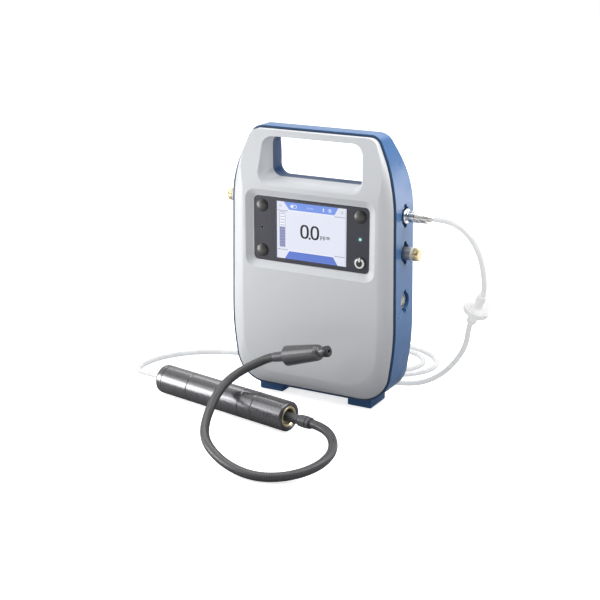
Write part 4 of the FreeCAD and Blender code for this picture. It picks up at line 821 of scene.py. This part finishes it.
def header_marks():
    """Battery, dots, link and clock marks in the header, and faint marks in the corners."""
    x, z = on_screen(0.245, 0.932)
    battery = superellipse((x, z), 6.6 * MM, 3.1 * MM, 4)
    show("battery", "screen_white", battery, 2, superellipse((x, z), 5.7 * MM, 2.3 * MM, 4))
    level = superellipse((x - 1.4 * MM, z), 2.5 * MM, 1.7 * MM, 4, 20)
    show("battery_level", "screen_white", level, 2)
    for index, offset in enumerate((-2.6, -1.2, 0.4, 1.7, 2.9)):
        x, z = on_screen(0.48, 0.93)
        dot = superellipse((x + offset * MM, z), 0.85 * MM, 1.6 * MM, 3, 16)
        show(f"header_dot_{index + 1}", "screen_pale", dot, 2)
    x, z = on_screen(0.675, 0.932)
    link = [(x - 0.3 * MM, z - 1.7 * MM), (x + 0.9 * MM, z - 0.7 * MM), (x - 0.2 * MM, z),
            (x + 0.9 * MM, z + 0.7 * MM), (x - 0.3 * MM, z + 1.7 * MM), (x - 0.75 * MM, z)]
    show("link", "screen_white", link, 2)
    x, z = on_screen(0.765, 0.932)
    show("clock", "screen_pale", superellipse((x, z), 3.9 * MM, 3.9 * MM, 2, 28), 2)
    show("clock_hand", "screen_white",
         [(x - 0.2 * MM, z - 0.2 * MM), (x + 1.2 * MM, z - 0.2 * MM), (x + 1.2 * MM, z + 0.2 * MM),
          (x + 0.2 * MM, z + 0.2 * MM), (x + 0.2 * MM, z + 1.5 * MM), (x - 0.2 * MM, z + 1.5 * MM)], 3)
    for index, u in enumerate((0.052, 0.94)):
        place = on_screen(u, 0.925)
        ring(f"corner_ring_{index + 1}", "screen_faint", place, 3.0 * MM, 3.0 * MM, 0.5 * MM, 1, 2)
        show(f"corner_dot_{index + 1}", "screen_faint", superellipse(place, 1.1 * MM, 1.1 * MM, 2, 16), 1)


# ---------------------------------------------------------------- power mark

def power_mark():
    """Broken ring and stroke, printed on the power button's dome."""
    centre = front_middle("power_button")
    dome_radius = (BUTTON_RADIUS ** 2 + BUTTON_DOME ** 2) / (2 * BUTTON_DOME)

    def surface(x, z):
        fall = dome_radius - math.sqrt(dome_radius ** 2 - x * x - z * z)
        return centre + Vector((x, fall - PRINT_LIFT, z))

    inner, outer = POWER_RING_RADII
    rails = [[], [], []]
    for index in range(POWER_RING_STEPS + 1):
        turned = 2 * (math.pi - POWER_GAP) * index / POWER_RING_STEPS
        angle = math.pi / 2 + POWER_GAP + turned
        for rail, radius in zip(rails, (inner, (inner + outer) / 2, outer)):
            rail.append(surface(radius * math.cos(angle), radius * math.sin(angle)))
    strip("power_ring", rails)
    rails = [[], [], []]
    for index in range(POWER_STROKE_STEPS + 1):
        z = POWER_STROKE_LOW + POWER_STROKE_LENGTH * index / POWER_STROKE_STEPS
        for rail, side in zip(rails, (-1, 0, 1)):
            rail.append(surface(side * POWER_STROKE_WIDTH / 2, z))
    strip("power_stroke", rails)


def strip(name, rails):
    """Printed strip between rails of points, with a little thickness."""
    count = len(rails[0])
    vertices = [point for rail in rails for point in rail]
    faces = []
    for row in range(len(rails) - 1):
        for i in range(count - 1):
            a = row * count + i
            faces.append([a, a + 1, a + count + 1, a + count])
    thing = piece(name, vertices, faces, "mark", "white_plastic", smooth=True)
    solid = thing.modifiers.new("print", "SOLIDIFY")
    solid.thickness = PRINT_THICKNESS
    solid.offset = 0
    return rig.ride(thing, "power_button")


# ---------------------------------------------------------------- gooseneck

def clamped_spline(points, first, last):
    """Cubic spline through points with unit end directions; returns a function of length so far."""
    knots = [0.0]
    for a, b in zip(points, points[1:]):
        knots.append(knots[-1] + (b - a).length)
    count = len(points)
    spans = [knots[i + 1] - knots[i] for i in range(count - 1)]
    slopes = [(points[i + 1] - points[i]) / spans[i] for i in range(count - 1)]
    upper = [0.0] * count
    moments = [Vector(first)] + [None] * (count - 1)
    for i in range(1, count - 1):
        before, after = spans[i - 1], spans[i]
        pivot = 2 * (before + after) - after * upper[i - 1]
        upper[i] = before / pivot
        right = 3 * (after * slopes[i - 1] + before * slopes[i])
        moments[i] = (right - after * moments[i - 1]) / pivot
    moments[-1] = Vector(last)
    for i in range(count - 2, 0, -1):
        moments[i] = moments[i] - upper[i] * moments[i + 1]

    def at(distance):
        i = max(j for j in range(count - 1) if knots[j] <= distance or j == 0)
        t = (distance - knots[i]) / spans[i]
        a, b = points[i], points[i + 1]
        ma, mb = moments[i] * spans[i], moments[i + 1] * spans[i]
        return (a * (2 * t ** 3 - 3 * t ** 2 + 1) + ma * (t ** 3 - 2 * t ** 2 + t)
                + b * (3 * t ** 2 - 2 * t ** 3) + mb * (t ** 3 - t ** 2))

    return at, knots


def rib_radius(distance):
    """Radius of the gooseneck's jacket: rounded ribs with narrow valleys."""
    phase = abs(math.sin(math.pi * distance / NECK_RIB_PITCH))
    return NECK_RADIUS - NECK_RIB_DEPTH * (1 - phase ** 0.6)


def neck_piece(name, at, start, end, node):
    """Ribbed tube between two lengths along the path."""
    count = round((end - start) / (NECK_RIB_PITCH / 6))
    around = NECK_SIDES
    vertices, faces, rows = [], [], []
    side = None
    for row in range(count + 1):
        distance = start + (end - start) * row / count
        middle = at(distance)
        ahead = (at(distance + 0.1 * MM) - at(distance - 0.1 * MM)).normalized()
        side = ahead.orthogonal() if side is None else side
        side = (side - ahead * side.dot(ahead)).normalized()
        across = ahead.cross(side)
        for turn in range(around):
            angle = 2 * math.pi * turn / around
            outward = side * math.cos(angle) + across * math.sin(angle)
            vertices.append(middle + outward * rib_radius(distance))
        rows.append(distance)
    for row in range(count):
        for turn in range(around):
            a = row * around + turn
            b = row * around + (turn + 1) % around
            faces.append([a, b, b + around, a + around])
    thing = piece(name, vertices, faces, "neck", "neck_cover", smooth=True)
    layer = thing.data.uv_layers.new(name="sweep")
    for loop in thing.data.loops:
        row, turn = divmod(loop.vertex_index, around)
        layer.data[loop.index].uv = (turn / around, rows[row])
    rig.replaces(thing, node)
    return thing


def gooseneck():
    """Four lengths of ribbed jacket, each cut off away from the knuckles."""
    first = WAND_FAR_END + WAND_AXIS * NECK_START
    last = HEAD_START - HEAD_AXIS * PROBE_SLEEVE
    points = [first] + [Vector(point) * MM for point in NECK_PATH] + [last]
    points = [LAYOUT + point for point in points]
    at, knots = clamped_spline(points, WAND_AXIS, HEAD_AXIS)
    cuts = [
        knots[0] + NECK_END_GAP, (knots[4] + knots[5]) / 2, knots[7] + 10 * MM, knots[11],
        knots[-1] - NECK_END_GAP]
    names = ["neck_jacket_base", "neck_jacket_lift", "neck_jacket_swing", "neck_jacket_tilt"]
    nodes = ["gooseneck_base", "gooseneck_rise", "gooseneck_arch", "gooseneck_end"]
    made = [neck_piece(name, at, cuts[i], cuts[i + 1], nodes[i]) for i, name in enumerate(names)]
    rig.ride(made[0], "base_unit")
    for thing, (joint, reach) in zip(made[1:], NECK_BENDS):
        data = JOINTS[joint]
        middle = Vector(data["pos_m"])
        nearest = min(knots, key=lambda k: (at(k) - middle).length)
        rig.blend(thing, data["parent"], data["child"], at(nearest - reach), at(nearest + reach))


# ---------------------------------------------------------------- studio

def camera():
    """Camera that sees the front and the right side from a little above."""
    azimuth, drop = math.radians(CAMERA_AZIMUTH), math.radians(CAMERA_DROP)
    level = Vector((-math.sin(azimuth), math.cos(azimuth), 0))
    ahead = level * math.cos(drop) + Vector((0, 0, -math.sin(drop)))
    right = ahead.cross(Vector((0, 0, 1))).normalized()
    up = right.cross(ahead)
    data = bpy.data.cameras.new("camera")
    data.lens = CAMERA_LENS
    data.sensor_width = CAMERA_SENSOR
    data.clip_end = 20
    thing = bpy.data.objects.new("camera", data)
    turned = Matrix((right, up, -ahead)).transposed()
    thing.matrix_world = Matrix.Translation(LAYOUT + CAMERA_PLACE) @ turned.to_4x4()
    bpy.context.scene.collection.objects.link(thing)
    bpy.context.scene.camera = thing


def softbox(name, place, target, size, power):
    """Rectangular area light aimed at a point."""
    data = bpy.data.lights.new(name, "AREA")
    data.shape = "RECTANGLE"
    data.size, data.size_y = size
    data.energy = power
    thing = bpy.data.objects.new(name, data)
    thing.location = place
    thing.rotation_euler = (Vector(target) - Vector(place)).to_track_quat("-Z", "Y").to_euler()
    thing.visible_camera = False
    bpy.context.scene.collection.objects.link(thing)


def floor():
    """Plain pale floor that the camera sees as white outside soft shadows."""
    half = FLOOR_HALF
    vertices = [(-half, -half, 0), (half, -half, 0), (half, half, 0), (-half, half, 0)]
    shader = Shader("pale_floor")
    grain = shader.noise(0.4, 3)
    seen = shader.node("ShaderNodeLightPath").outputs["Is Camera Ray"]
    pale = shader.mix(grain, (0.88, 0.88, 0.88), (0.92, 0.92, 0.92))
    away = shader.node("ShaderNodeVectorMath", operation="LENGTH")
    shader.feed(away.inputs[0], shader.place)
    bounce = shader.mix(shader.remap(away.outputs["Value"], *FLOOR_FADE), FLOOR_NEAR, FLOOR_FAR)
    shader.set(
        Base_Color=shader.mix(seen, bounce, pale), Roughness=0.85,
        Specular_IOR_Level=0.0, Emission_Color=(1, 1, 1),
        Emission_Strength=shader.math("MULTIPLY", seen, FLOOR_GLOW))
    MATERIALS["floor"] = shader
    thing = piece("pale_floor", vertices, [[0, 1, 2, 3]], "floor", "white_plastic")
    thing.location.z = -FLOOR_DROP
    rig.stage(thing)


def surroundings():
    """White backdrop; off camera it is bright behind and above, and dim on the camera's side."""
    world = bpy.data.worlds.new("studio")
    bpy.context.scene.world = world
    world.use_nodes = True
    tree = world.node_tree

    def ramp(value, low, high, to_low, to_high):
        made = tree.nodes.new("ShaderNodeMapRange")
        made.interpolation_type = "SMOOTHSTEP"
        for key, number in zip(("From Min", "From Max", "To Min", "To Max"), (low, high, to_low, to_high)):
            made.inputs[key].default_value = number
        tree.links.new(value, made.inputs["Value"])
        return made.outputs["Result"]

    def join(operation, first, second):
        made = tree.nodes.new("ShaderNodeMath")
        made.operation = operation
        tree.links.new(first, made.inputs[0])
        tree.links.new(second, made.inputs[1])
        return made.outputs[0]

    split = tree.nodes.new("ShaderNodeSeparateXYZ")
    tree.links.new(tree.nodes.new("ShaderNodeTexCoord").outputs["Generated"], split.inputs[0])
    behind = ramp(split.outputs["Y"], *SKY_BEHIND)
    above = ramp(split.outputs["Z"], *SKY_ABOVE)
    right = ramp(split.outputs["X"], *SKY_RIGHT)
    glow = join("MULTIPLY", join("ADD", behind, above), right)
    seen = tree.nodes.new("ShaderNodeLightPath").outputs["Is Camera Ray"]
    strength = join("MAXIMUM", glow, seen)
    background = tree.nodes["Background"]
    background.inputs["Color"].default_value = (1, 1, 1, 1)
    tree.links.new(strength, background.inputs["Strength"])


def studio():
    """Soft lights round the object."""
    surroundings()
    for name, place, size, power in SOFTBOXES:
        softbox(name, place, LIGHT_AIM, size, power)
    bpy.context.scene.view_settings.view_transform = "Standard"


# ---------------------------------------------------------------- assembly

def write_sizes():
    """Keeps the CAD box and the visual model's box."""
    boxes = {
        "cad": [list(corner) for corner in CAD_BOX],
        "visual": [list(corner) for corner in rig.bounds()]}
    with open("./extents.json", "w") as handle:
        json.dump(boxes, handle)


paint_frame()
display_picture()
power_mark()
gooseneck()
floor()
studio()
camera()
write_sizes()
